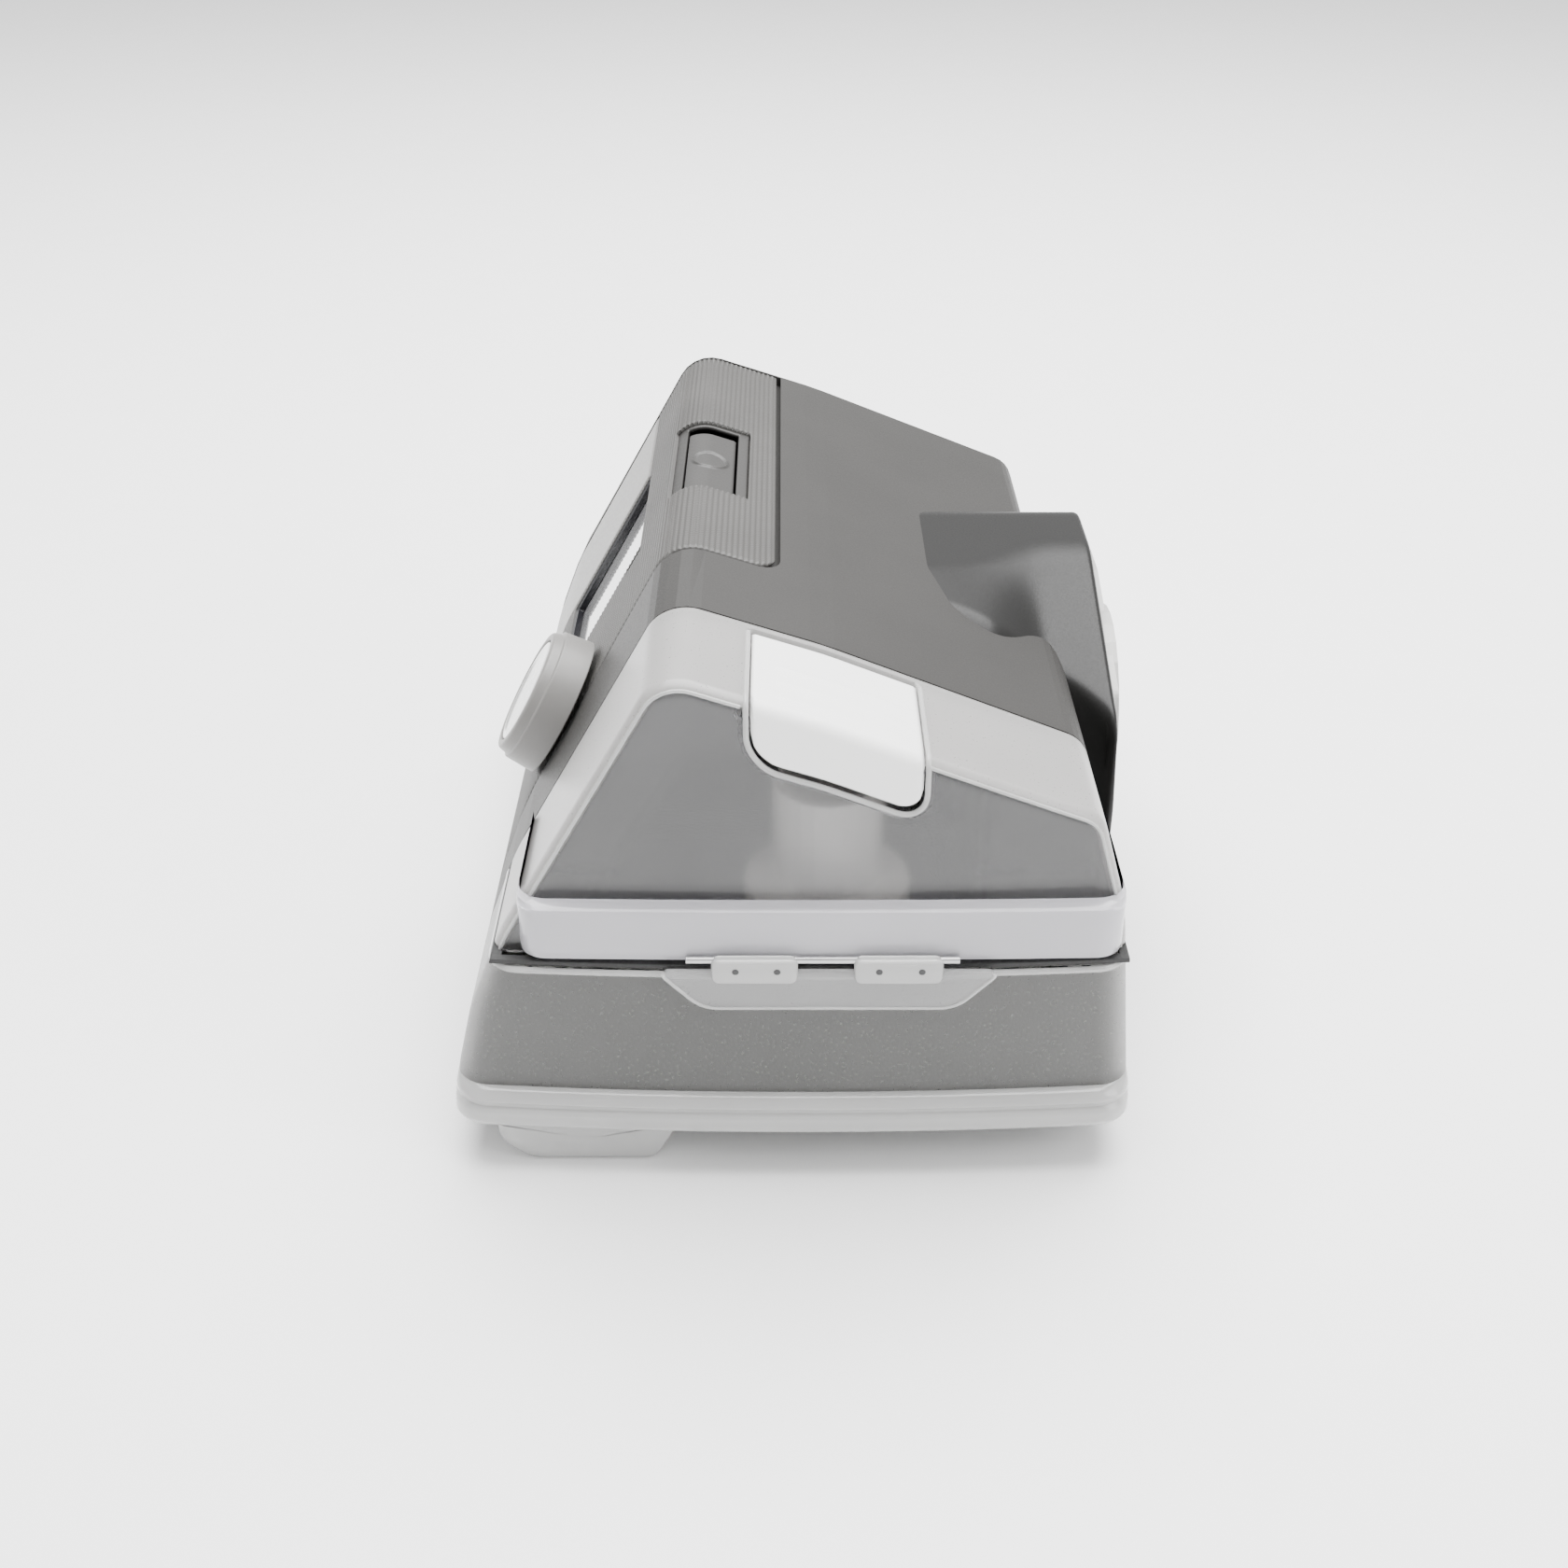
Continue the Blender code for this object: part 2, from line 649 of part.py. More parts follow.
cut(main_housing,
    box("filter_opening", (BODY_LEFT - 20.0, FILTER_FRONT - GAP, FILTER_LOW - SLIDE_GAP),
        (BODY_LEFT + 15.0, FILTER_REAR + GAP, FILTER_TOP + GAP)),
    box("sd_opening", (BODY_LEFT - 20.0, SD_Y - SD_DOOR_WIDTH / 2 - GAP,
                       SD_Z - SD_DOOR_HEIGHT / 2 - SLIDE_GAP),
        (BODY_LEFT + 15.0, SD_Y + SD_DOOR_WIDTH / 2 + GAP, SD_Z + SD_DOOR_HEIGHT / 2 + GAP)),
    box("jack_opening", (JACK_X - JACK_WIDTH / 2 - GAP, 50.0, JACK_Z - JACK_HEIGHT / 2 - GAP),
        (JACK_X + JACK_WIDTH / 2 + GAP, 90.0, JACK_Z + JACK_HEIGHT / 2 + GAP)),
    box("clip_opening", (JACK_X - CLIP_WIDTH / 2 - GAP, 50.0, CLIP_LOW - GAP),
        (JACK_X + CLIP_WIDTH / 2 + GAP, 90.0, CLIP_TOP + SLIDE_GAP)),
    box("adapter_opening", (ADAPTER_LEFT - GAP, 50.0, ADAPTER_LOW - SLIDE_GAP),
        (ADAPTER_RIGHT + GAP, 90.0, ADAPTER_TOP + GAP)),
    cylinder("outlet_opening", (OUTLET_X, 70.0, OUTLET_Z), CONNECTOR_SOCKET + SLIDE_GAP, 40.0, "Y"))
finish(main_housing, "dark_plastic")

# Front fascia: the ribbed skin, with the channel, slot and windows
front_fascia = fascia_region("front_fascia", 0.0, FASCIA_WALL, 0.0)
panel_up = (PANEL_TOP - DIAL_Z) / front_rise.z
channel = body_block("channel", -5.0, CHANNEL_LEFT, BUTTON_RIGHT - GAP)
cut(channel, body_block("channel_core", CHANNEL_DEPTH, CHANNEL_LEFT - 20.0, BUTTON_RIGHT + 20.0))
keep(channel, box("channel_plan", (CHANNEL_LEFT - 1.0, BUTTON_FRONT - CHANNEL_MARGIN, 0.0),
                  (BUTTON_RIGHT + 1.0, BUTTON_REAR + CHANNEL_MARGIN, 200.0)))
cut(front_fascia, channel,
    prism("button_slot", rectangle(CHANNEL_LEFT + 1.5, BUTTON_FRONT - GAP, BUTTON_RIGHT + GAP,
                                   BUTTON_REAR + GAP, 0.8), "Z", 60.0, 160.0),
    front_block("screen_window", SCREEN_X - SCREEN_WIDTH / 2, SCREEN_X + SCREEN_WIDTH / 2,
                SCREEN_UP - SCREEN_HEIGHT / 2, SCREEN_UP + SCREEN_HEIGHT / 2, 12.0, 12.0, 1.5),
    front_block("sensor_window", SENSOR_X - SENSOR_WIDTH / 2 - GAP, SENSOR_X + SENSOR_WIDTH / 2 + GAP,
                SENSOR_UP - SENSOR_LENGTH / 2 - GAP, SENSOR_UP + SENSOR_LENGTH / 2 + GAP, 12.0, 12.0, 0.8),
    place(cylinder("shaft_opening", (DIAL_X, 0.0, 0.0), DIAL_SHAFT_RADIUS + 1.5, 30.0, "Z", 24), FRONT),
    place(cylinder("home_opening", (HOME_X, HOME_UP, 0.0), HOME_RADIUS + GAP, 30.0, "Z", 24), FRONT),
    front_block("panel_opening", -300.0, PANEL_RIGHT, -120.0, panel_up, 20.0, 20.0, 1.0))
finish(front_fascia, "ribbed_grey")

# Side panel: the smooth inlay beside the screen
side_panel = fascia_region("side_panel", 0.0, FASCIA_WALL, 0.0)
keep(side_panel, front_block("panel_shape", -300.0, PANEL_RIGHT - GAP, -120.0, panel_up - GAP, 20.0,
                             20.0, 1.0))
finish(side_panel, "light_grey")

# Dock liner: a sleeve closed at its inner end, with two ports and the heater's window
dock_liner = prism("dock_liner", rounded(dock_corners(-LINER_WALL)), "X", DOCK_BACK - LINER_WALL, BODY_RIGHT)
port_seat = DOCK_BACK - LINER_WALL
cut(dock_liner,
    prism("dock_clear", rounded(dock_corners(0.0)), "X", DOCK_BACK, BODY_RIGHT + 20.0),
    cylinder("port_in", (DOCK_BACK, PORT_IN_Y, PORT_Z), PORT_RADIUS, 20.0, "X", 24),
    cylinder("port_out", (DOCK_BACK, PORT_OUT_Y, PORT_Z), PORT_RADIUS, 20.0, "X", 24),
    box("heater_window", (HEATER_LEFT - GAP, HEATER_Y - HEATER_HALF - GAP, 0.0),
        (HEATER_RIGHT + GAP, HEATER_Y + HEATER_HALF + GAP, DOCK_FLOOR + 5.0)))
finish(dock_liner, "black_plastic")
heater_top = DOCK_FLOOR + 0.4
heater_plate = box("heater_plate", (HEATER_LEFT, HEATER_Y - HEATER_HALF, heater_top - HEATER_THICK),
                   (HEATER_RIGHT, HEATER_Y + HEATER_HALF, heater_top), 0.5)
finish(heater_plate, "steel")
heater_foil = box("heater_foil", (HEATER_LEFT + 2.0, HEATER_Y - HEATER_HALF + 2.0, base_floor + GAP),
                  (HEATER_RIGHT - 2.0, HEATER_Y + HEATER_HALF - 2.0, heater_top - HEATER_THICK - GAP))
finish(heater_foil, "copper")

# One gasket seals both ports against the tub's inner end
port_seal = prism("port_seal", rectangle(PORT_IN_Y - PORT_RADIUS - PORT_MARGIN,
                                         PORT_Z - PORT_RADIUS - PORT_MARGIN,
                                         PORT_OUT_Y + PORT_RADIUS + PORT_MARGIN,
                                         PORT_Z + PORT_RADIUS + PORT_MARGIN, 5.0),
                  "X", DOCK_BACK + GAP, DOCK_BACK + SEAL_THICK,
                  (circle(PORT_IN_Y, PORT_Z, PORT_RADIUS, 24), circle(PORT_OUT_Y, PORT_Z, PORT_RADIUS, 24)))
finish(port_seal, "rubber")


# ---------------------------------------------------------------- front pieces

lens_top = -FASCIA_WALL - GAP
lens_low_x = SCREEN_X - SCREEN_WIDTH / 2 - SCREEN_LAP
lens_high_x = SCREEN_X + SCREEN_WIDTH / 2 + SCREEN_LAP
lens_low_up = SCREEN_UP - SCREEN_HEIGHT / 2 - SCREEN_LAP
lens_high_up = SCREEN_UP + SCREEN_HEIGHT / 2 + SCREEN_LAP
lcd_top = lens_top - LENS_THICK - GAP
finish(front_block("screen_lens", lens_low_x, lens_high_x, lens_low_up, lens_high_up,
                   -(lens_top - LENS_THICK), lens_top), "screen")
finish(front_block("lcd_module", lens_low_x, lens_high_x, lens_low_up, lens_high_up,
                   -(lcd_top - LCD_THICK), lcd_top, 0.0), "black_plastic")
finish(front_block("light_sensor", SENSOR_X - SENSOR_WIDTH / 2, SENSOR_X + SENSOR_WIDTH / 2,
                   SENSOR_UP - SENSOR_LENGTH / 2, SENSOR_UP + SENSOR_LENGTH / 2,
                   FASCIA_WALL + 2.0, -0.3, 0.7), "screen")
finish(front_block("control_board", FASCIA_LEFT + 3.0, FASCIA_RIGHT_LOW, -28.0, 28.0,
                   BOARD_DEPTH + BOARD_THICK, -BOARD_DEPTH, 2.0), "board")
encoder_top = -FASCIA_WALL - 2 * GAP
encoder_low = -BOARD_DEPTH + GAP
encoder_body = front_block("encoder_body", DIAL_X - ENCODER_SIDE / 2, DIAL_X + ENCODER_SIDE / 2,
                           -ENCODER_SIDE / 2, ENCODER_SIDE / 2, -encoder_low, encoder_top, 0.0)
cut(encoder_body, place(cylinder("encoder_bore", (DIAL_X, 0.0, 0.0), DIAL_SHAFT_RADIUS + GAP,
                                 2 * (-encoder_low - 1.5), "Z", 24), FRONT))
finish(encoder_body, "steel")

dial_frame = Matrix.Translation(front_point(DIAL_X, 0.0, 0.0) * METRES) @ FRONT.to_3x3().to_4x4()
shaft_low = encoder_low + 1.5 + DIAL_TRAVEL + SLIDE_GAP
shaft_top = DIAL_LIFT + DIAL_HEIGHT - DIAL_CAP_THICK - GAP - 0.6
dial_shaft = turned("dial_shaft", ((0.0, shaft_top), (DIAL_SHAFT_RADIUS, shaft_top),
                                   (DIAL_SHAFT_RADIUS, shaft_low), (0.0, shaft_low)), (0, 0, 0),
                    dial_frame, 20)
finish(dial_shaft, "steel")

dial_top = DIAL_LIFT + DIAL_HEIGHT
cap_seat = dial_top - DIAL_CAP_THICK - GAP
hub_bore = DIAL_SHAFT_RADIUS + GAP
dial_knob = turned("dial_knob", (
    (hub_bore, cap_seat), (DIAL_CAP_RADIUS + GAP, cap_seat), (DIAL_CAP_RADIUS + GAP, dial_top),
    (DIAL_RADIUS - 1.6, dial_top), (DIAL_RADIUS - 0.3, dial_top - 0.8), (DIAL_RADIUS, dial_top - 2.4),
    (DIAL_RADIUS + 0.6, DIAL_LIFT), (DIAL_RADIUS - DIAL_WALL, DIAL_LIFT),
    (DIAL_RADIUS - DIAL_WALL, cap_seat - 1.6), (hub_bore + 2.0, cap_seat - 1.6),
    (hub_bore + 2.0, DIAL_LIFT + 0.6), (hub_bore, DIAL_LIFT + 0.6)), (0, 0, 0), dial_frame, 32, closed=True)
finish(dial_knob, "light_grey")
dial_cap = turned("dial_cap", ((0.0, dial_top - 0.9), (DIAL_CAP_RADIUS - 3.0, dial_top - 0.8),
                               (DIAL_CAP_RADIUS - 1.0, dial_top), (DIAL_CAP_RADIUS, dial_top - 0.2),
                               (DIAL_CAP_RADIUS, dial_top - DIAL_CAP_THICK),
                               (0.0, dial_top - DIAL_CAP_THICK)),
                  (0, 0, 0), dial_frame, 28)
finish(dial_cap, "steel")

home_frame = Matrix.Translation(front_point(HOME_X, HOME_UP, 0.0) * METRES) @ FRONT.to_3x3().to_4x4()
home_low = -BOARD_DEPTH + HOME_TRAVEL + SLIDE_GAP
home_button = turned("home_button", ((0.0, 0.5), (HOME_RADIUS - 0.6, 0.5), (HOME_RADIUS, 0.0),
                                     (HOME_RADIUS, home_low), (0.0, home_low)), (0, 0, 0), home_frame, 24)
finish(home_button, "light_grey")

start_stop_button = body_block("start_stop_button", CHANNEL_DEPTH, BUTTON_LEFT, BUTTON_RIGHT)
cut(start_stop_button, body_block("button_core", BUTTON_DEEP, BUTTON_LEFT - 20.0, BUTTON_RIGHT + 20.0))
keep(start_stop_button, box("button_plan", (BUTTON_LEFT - 1.0, BUTTON_FRONT, 60.0),
                            (BUTTON_RIGHT + 1.0, BUTTON_REAR, 200.0)))
finish(start_stop_button, "dark_plastic")


# ---------------------------------------------------------------- blower

port_low = PORT_Z - VOLUTE_HALF
port_high = PORT_Z + VOLUTE_HALF
upright = Matrix.Identity(4)
blower_place = (BLOWER_X, BLOWER_Y, 0.0)
wall_in = VOLUTE_RADIUS - VOLUTE_WALL
volute_lower = turned("volute_lower", (
    (wall_in, PORT_Z - GAP / 2), (VOLUTE_RADIUS, PORT_Z - GAP / 2), (VOLUTE_RADIUS, port_low),
    (SHAFT_RADIUS + SLIDE_GAP, port_low), (SHAFT_RADIUS + SLIDE_GAP, port_low + VOLUTE_WALL),
    (wall_in, port_low + VOLUTE_WALL)), blower_place, upright, 28, closed=True)
volute_upper = turned("volute_upper", (
    (INTAKE_RADIUS, port_high), (VOLUTE_RADIUS, port_high), (VOLUTE_RADIUS, PORT_Z + GAP / 2),
    (wall_in, PORT_Z + GAP / 2), (wall_in, port_high - VOLUTE_WALL),
    (INTAKE_RADIUS, port_high - VOLUTE_WALL)), blower_place, upright, 28, closed=True)
duct_outer = PORT_RADIUS + PORT_WALL
duct_left = BLOWER_X + math.sqrt(VOLUTE_RADIUS ** 2 - (BLOWER_Y - PORT_IN_Y) ** 2) - 2.0
for name, half in (("volute_port_low", volute_lower), ("volute_port_high", volute_upper)):
    cut(half, cylinder(name, (duct_left + 20.0, PORT_IN_Y, PORT_Z), duct_outer + GAP, 50.0, "X", 24))
finish(volute_lower, "black_plastic")
finish(volute_upper, "black_plastic")

blower_duct = cylinder("blower_duct", ((duct_left + port_seat - GAP) / 2, PORT_IN_Y, PORT_Z), duct_outer,
                       port_seat - GAP - duct_left, "X", 28)
cut(blower_duct, cylinder("duct_bore", (duct_left, PORT_IN_Y, PORT_Z), PORT_RADIUS, 80.0, "X", 28))
finish(blower_duct, "rubber")

motor_top = port_low - GAP
motor_low = motor_top - MOTOR_HEIGHT
bearing_bore = BEARING_RADIUS + GAP
motor_housing = turned("motor_housing", (
    (bearing_bore, motor_top), (MOTOR_RADIUS, motor_top), (MOTOR_RADIUS, motor_low),
    (SHAFT_RADIUS + SLIDE_GAP, motor_low), (SHAFT_RADIUS + SLIDE_GAP, motor_low + MOTOR_WALL),
    (bearing_bore, motor_low + MOTOR_WALL), (bearing_bore, motor_low + MOTOR_WALL + BEARING_THICK),
    (bearing_bore + 1.5, motor_low + MOTOR_WALL + BEARING_THICK),
    (bearing_bore + 1.5, motor_low + MOTOR_WALL),
    (MOTOR_RADIUS - MOTOR_WALL, motor_low + MOTOR_WALL), (MOTOR_RADIUS - MOTOR_WALL, motor_top - MOTOR_WALL),
    (bearing_bore, motor_top - MOTOR_WALL)), blower_place, upright, 24, closed=True)
finish(motor_housing, "steel")
magnet_low = motor_low + MOTOR_WALL + BEARING_THICK + 1.0
magnet_high = motor_top - BEARING_THICK - 1.0
motor_stator = turned("motor_stator", (
    (MAGNET_RADIUS + SLIDE_GAP, magnet_high), (MOTOR_RADIUS - MOTOR_WALL - GAP, magnet_high),
    (MOTOR_RADIUS - MOTOR_WALL - GAP, magnet_low), (MAGNET_RADIUS + SLIDE_GAP, magnet_low)),
    blower_place, upright, 24, closed=True)
finish(motor_stator, "copper")
rotor_magnet = turned("rotor_magnet", (
    (SHAFT_RADIUS + GAP, magnet_high), (MAGNET_RADIUS, magnet_high), (MAGNET_RADIUS, magnet_low),
    (SHAFT_RADIUS + GAP, magnet_low)), blower_place, upright, 20, closed=True)
finish(rotor_magnet, "steel")
for name, low in (("bearing_lower", motor_low + MOTOR_WALL + GAP),
                  ("bearing_upper", motor_top - BEARING_THICK)):
    bearing = turned(name, (
        (SHAFT_RADIUS + GAP, low + BEARING_THICK - GAP), (BEARING_RADIUS, low + BEARING_THICK - GAP),
        (BEARING_RADIUS, low), (SHAFT_RADIUS + GAP, low)), blower_place, upright, 24, closed=True)
    finish(bearing, "steel")
shaft_bottom = motor_low + MOTOR_WALL
rotor_shaft = turned("rotor_shaft", ((0.0, PORT_Z + 2.0), (SHAFT_RADIUS, PORT_Z + 2.0),
                                     (SHAFT_RADIUS, shaft_bottom), (0.0, shaft_bottom)),
                     blower_place, upright, 16)
finish(rotor_shaft, "steel")


def blade_outline():
    """A hub with backward-curved blades, as one flat outline."""
    points = []
    for blade in range(IMPELLER_BLADES):
        base = 2 * math.pi * blade / IMPELLER_BLADES
        for share, side in ((0.0, 0.0), (0.5, 0.0), (1.0, 0.0), (1.0, 1.0), (0.5, 1.0), (0.0, 1.0)):
            radius = BLADE_HUB + (IMPELLER_RADIUS - 1.0 - BLADE_HUB) * share
            angle = base - BLADE_SWEEP * share + side * (BLADE_THICK / radius)
            points.append((BLOWER_X + radius * math.cos(angle), BLOWER_Y + radius * math.sin(angle)))
    return points


impeller_low = PORT_Z - 6.0
impeller = turned("impeller", (
    (SHAFT_RADIUS + GAP, impeller_low + 1.5), (IMPELLER_RADIUS, impeller_low + 1.5),
    (IMPELLER_RADIUS, impeller_low), (SHAFT_RADIUS + GAP, impeller_low)), blower_place, upright, 24,
    closed=True)
join(impeller, prism("impeller_blades", blade_outline(), "Z", impeller_low + 0.7,
                     impeller_low + IMPELLER_HEIGHT,
                     (circle(BLOWER_X, BLOWER_Y, SHAFT_RADIUS + GAP, 16),)))
finish(impeller, "filter_white")

mount_low = base_floor + GAP
for i in range(3):
    turn = 2 * math.pi * i / 3 + 0.5
    x = BLOWER_X + (MOTOR_RADIUS - MOUNT_RADIUS) * math.cos(turn)
    y = BLOWER_Y + (MOTOR_RADIUS - MOUNT_RADIUS) * math.sin(turn)
    mount = cylinder(f"blower_mount_{i + 1}", (x, y, (mount_low + motor_low - GAP) / 2), MOUNT_RADIUS,
                     motor_low - GAP - mount_low, "Z", 20)
    finish(mount, "rubber")

foam_low = port_high + GAP
muffler_foam = box("muffler_foam", (BLOWER_X - FOAM_HALF_LENGTH, BLOWER_Y - FOAM_HALF_WIDTH, foam_low),
                   (BLOWER_X + FOAM_HALF_LENGTH, BLOWER_Y + FOAM_HALF_WIDTH, foam_low + FOAM_HEIGHT))
cut(muffler_foam, cylinder("foam_hole", (BLOWER_X, BLOWER_Y, foam_low), INTAKE_RADIUS, 60.0, "Z", 24))
finish(muffler_foam, "foam")

power_board = box("power_board", (BODY_LEFT + 8.0, -60.0, BASE_TOP + 2.0),
                  (DOCK_BACK - 10.0, -16.0, BASE_TOP + 3.6))
finish(power_board, "board")


# ---------------------------------------------------------------- outlet

def horn_section(section, inset):
    """Outline of the horn at one y, as (x, z), with the same number of points at every y."""
    _, level_end, shoulder_x, shoulder_z, side_x, side_z = section
    corners = (
        (HORN_LEFT, HORN_LOW, 18.0),
        (HORN_LEFT, HORN_TOP, 12.0),
        (level_end, HORN_TOP, 30.0),
        (shoulder_x, shoulder_z, 7.0),
        (side_x, side_z, 20.0),
        (side_x - 1.0, HORN_LOW, 22.0))
    return rounded(inset_corners(corners, inset), fixed_steps=4)


def horn(name, inset, end_inset):
    """Loft between the horn's sections, from inside the body out to its rear face."""
    bm = bmesh.new()
    rings = []
    for section in HORN_SECTIONS:
        y = section[0] - (end_inset if section is HORN_SECTIONS[-1] else 0.0)
        rings.append([bm.verts.new((x * METRES, y * METRES, z * METRES))
                      for x, z in horn_section(section, inset)])
    for ring, following in zip(rings, rings[1:]):
        for k in range(len(ring)):
            following_k = (k + 1) % len(ring)
            bm.faces.new((ring[k], ring[following_k], following[following_k], following[k]))
    bm.faces.new(rings[0])
    bm.faces.new(rings[-1])
    bmesh.ops.triangulate(bm, faces=[face for face in bm.faces if len(face.verts) > 4])
    return from_bmesh(name, bm)


outlet_housing = horn("outlet_housing", 0.0, 0.0)
cut(outlet_housing,
    horn("horn_hollow", HORN_WALL, HORN_WALL),
    body_block("horn_seat", -GAP, BODY_LEFT - 10.0, BODY_RIGHT + 20.0),
    cylinder("horn_bore", (OUTLET_X, 70.0, OUTLET_Z), CONNECTOR_SOCKET + SLIDE_GAP, 40.0, "Y"))
finish(outlet_housing, "dark_plastic")

rearward = Matrix.Rotation(math.radians(-90), 4, "X")
socket_low = CONNECTOR_BACK - SOCKET_DEPTH - SOCKET_WALL + SPIGOT_WALL
plate_low = OUTLET_BACK + GAP
spigot_bore = SPIGOT_RADIUS - SPIGOT_WALL
socket_inner = CONNECTOR_SOCKET - SOCKET_WALL
outlet_connector = turned("outlet_connector", (
    (socket_inner, CONNECTOR_BACK), (CONNECTOR_BOSS, CONNECTOR_BACK), (CONNECTOR_BOSS, plate_low),
    (CONNECTOR_SOCKET, plate_low), (CONNECTOR_SOCKET, socket_low), (spigot_bore, socket_low),
    (spigot_bore, CONNECTOR_BACK - SPIGOT_SINK), (SPIGOT_RADIUS, CONNECTOR_BACK - SPIGOT_SINK),
    (SPIGOT_RADIUS, socket_low + SOCKET_WALL), (socket_inner, socket_low + SOCKET_WALL)),
    (OUTLET_X, 0.0, OUTLET_Z), rearward, 28, closed=True)
connector_ears = rounded((
    (OUTLET_X - 28.0, OUTLET_Z - 20.0, 6.0), (OUTLET_X - 31.0, OUTLET_Z + 28.5, 3.0),
    (OUTLET_X - 16.0, OUTLET_Z + 28.5, 4.0), (OUTLET_X + 26.5, OUTLET_Z + 16.5, 3.0),
    (OUTLET_X + 26.5, OUTLET_Z - 14.0, 6.0), (OUTLET_X + 16.0, OUTLET_Z - 20.0, 6.0)))
join(outlet_connector, prism("connector_plate", connector_ears, "Y", plate_low, CONNECTOR_BACK - 1.1,
                             (circle(OUTLET_X, OUTLET_Z, CONNECTOR_SOCKET - 0.6),)))
finish(outlet_connector, "light_grey")

plenum_front = DOCK_REAR + LINER_WALL + SLIDE_GAP
plenum_back = socket_low - GAP
outlet_plenum = box("outlet_plenum", (OUTLET_X - PLENUM_HALF, plenum_front, OUTLET_Z - PLENUM_HALF),
                    (OUTLET_X + PLENUM_HALF, plenum_back, OUTLET_Z + PLENUM_HALF))
duct_middle = (plenum_front + plenum_back) / 2
cut(outlet_plenum,
    box("plenum_hollow", (OUTLET_X - PLENUM_HALF + PLENUM_WALL, plenum_front + PLENUM_WALL,
                          OUTLET_Z - PLENUM_HALF + PLENUM_WALL),
        (OUTLET_X + PLENUM_HALF - PLENUM_WALL, plenum_back - PLENUM_WALL,
         OUTLET_Z + PLENUM_HALF - PLENUM_WALL)),
    cylinder("plenum_bore", (OUTLET_X, plenum_back, OUTLET_Z), spigot_bore, 10.0, "Y", 24),
    cylinder("plenum_inlet", (OUTLET_X - PLENUM_HALF, duct_middle, OUTLET_Z),
             (plenum_back - plenum_front) / 2 - 0.4, 10.0, "X", 24))
finish(outlet_plenum, "black_plastic")


def tube_along(name, route, radius, sides=16):
    """A POLY curve with filled caps, made a mesh with its caps welded."""
    curve = bpy.data.curves.new(name, "CURVE")
    curve.dimensions = "3D"
    curve.bevel_depth = radius * METRES
    curve.bevel_resolution = sides // 4
    curve.use_fill_caps = True
    spline = curve.splines.new("POLY")
    spline.points.add(len(route) - 1)
    for point, place_at in zip(spline.points, route):
        point.co = (*(Vector(place_at) * METRES), 1.0)
    guide = bpy.data.objects.new(name + "_route", curve)
    parts.objects.link(guide)
    depsgraph = bpy.context.evaluated_depsgraph_get()
    mesh = bpy.data.meshes.new_from_object(guide.evaluated_get(depsgraph))
    bpy.data.objects.remove(guide, do_unlink=True)
    bm = bmesh.new()
    bm.from_mesh(mesh)
    bmesh.ops.remove_doubles(bm, verts=bm.verts, dist=0.000001)
    return from_bmesh(name, bm)


# Outlet duct: a half turn from the rear port to the plenum's side
duct_thick = (plenum_back - plenum_front) / 2 - 1.0
turn_radius = (duct_middle - PORT_OUT_Y) / 2
duct_start = port_seat - GAP
duct_route = [(duct_start, PORT_OUT_Y, PORT_Z)]
for step in range(1, 12):
    angle = math.pi * step / 12
    duct_route.append((duct_start - 0.5 - turn_radius * math.sin(angle),
                       duct_middle - turn_radius * (1 + math.cos(angle)),
                       PORT_Z + (OUTLET_Z - PORT_Z) * step / 12))
duct_route.append((duct_start, duct_middle, OUTLET_Z))
duct_route.append((OUTLET_X - PLENUM_HALF - GAP, duct_middle, OUTLET_Z))
outlet_duct = tube_along("outlet_duct", duct_route, duct_thick)
bore_route = [(duct_start + 5.0, PORT_OUT_Y, PORT_Z)] + duct_route[1:-1]
bore_route.append((OUTLET_X - PLENUM_HALF + 5.0, duct_middle, OUTLET_Z))
cut(outlet_duct, tube_along("duct_hollow", bore_route, duct_thick - PORT_WALL))
finish(outlet_duct, "rubber")


# ---------------------------------------------------------------- left end

end_wall = BODY_LEFT + BODY_WALL
filter_cover = lean(box("filter_cover", (BODY_LEFT, FILTER_FRONT, FILTER_LOW),
                        (BODY_LEFT + DOOR_THICK, FILTER_REAR, FILTER_TOP)), 0.0)
finish(filter_cover, "dark_plastic")
filter_hinge = (BODY_LEFT + LEFT_LEAN * FILTER_LOW + 0.6, 0.0, FILTER_LOW + 0.4)
set_origin(filter_cover, filter_hinge)
inlet_filter = box("inlet_filter", (end_wall + 2.6, FILTER_FRONT + 1.0, FILTER_LOW + 1.0),
                   (end_wall + 6.6, FILTER_REAR - 1.0, FILTER_TOP - 1.0))
finish(inlet_filter, "filter_white")

sd_door = lean(box("sd_door", (BODY_LEFT, SD_Y - SD_DOOR_WIDTH / 2, SD_Z - SD_DOOR_HEIGHT / 2),
                   (BODY_LEFT + DOOR_THICK, SD_Y + SD_DOOR_WIDTH / 2, SD_Z + SD_DOOR_HEIGHT / 2)), 0.0)
finish(sd_door, "dark_plastic")
sd_door_low = SD_Z - SD_DOOR_HEIGHT / 2
set_origin(sd_door, (BODY_LEFT + LEFT_LEAN * sd_door_low + 0.6, SD_Y, sd_door_low + 0.4))
card_left = end_wall + 0.8
sd_card = box("sd_card", (card_left, SD_Y - SD_WIDTH / 2, SD_Z - SD_THICK / 2),
              (card_left + SD_LENGTH, SD_Y + SD_WIDTH / 2, SD_Z + SD_THICK / 2))
finish(sd_card, "black_plastic")
sd_socket = box("sd_socket", (card_left + 2.0, SD_Y - SD_WIDTH / 2 - 2.0, SD_Z - 3.0),
                (card_left + SD_LENGTH + 4.0, SD_Y + SD_WIDTH / 2 + 2.0, SD_Z + 3.0))
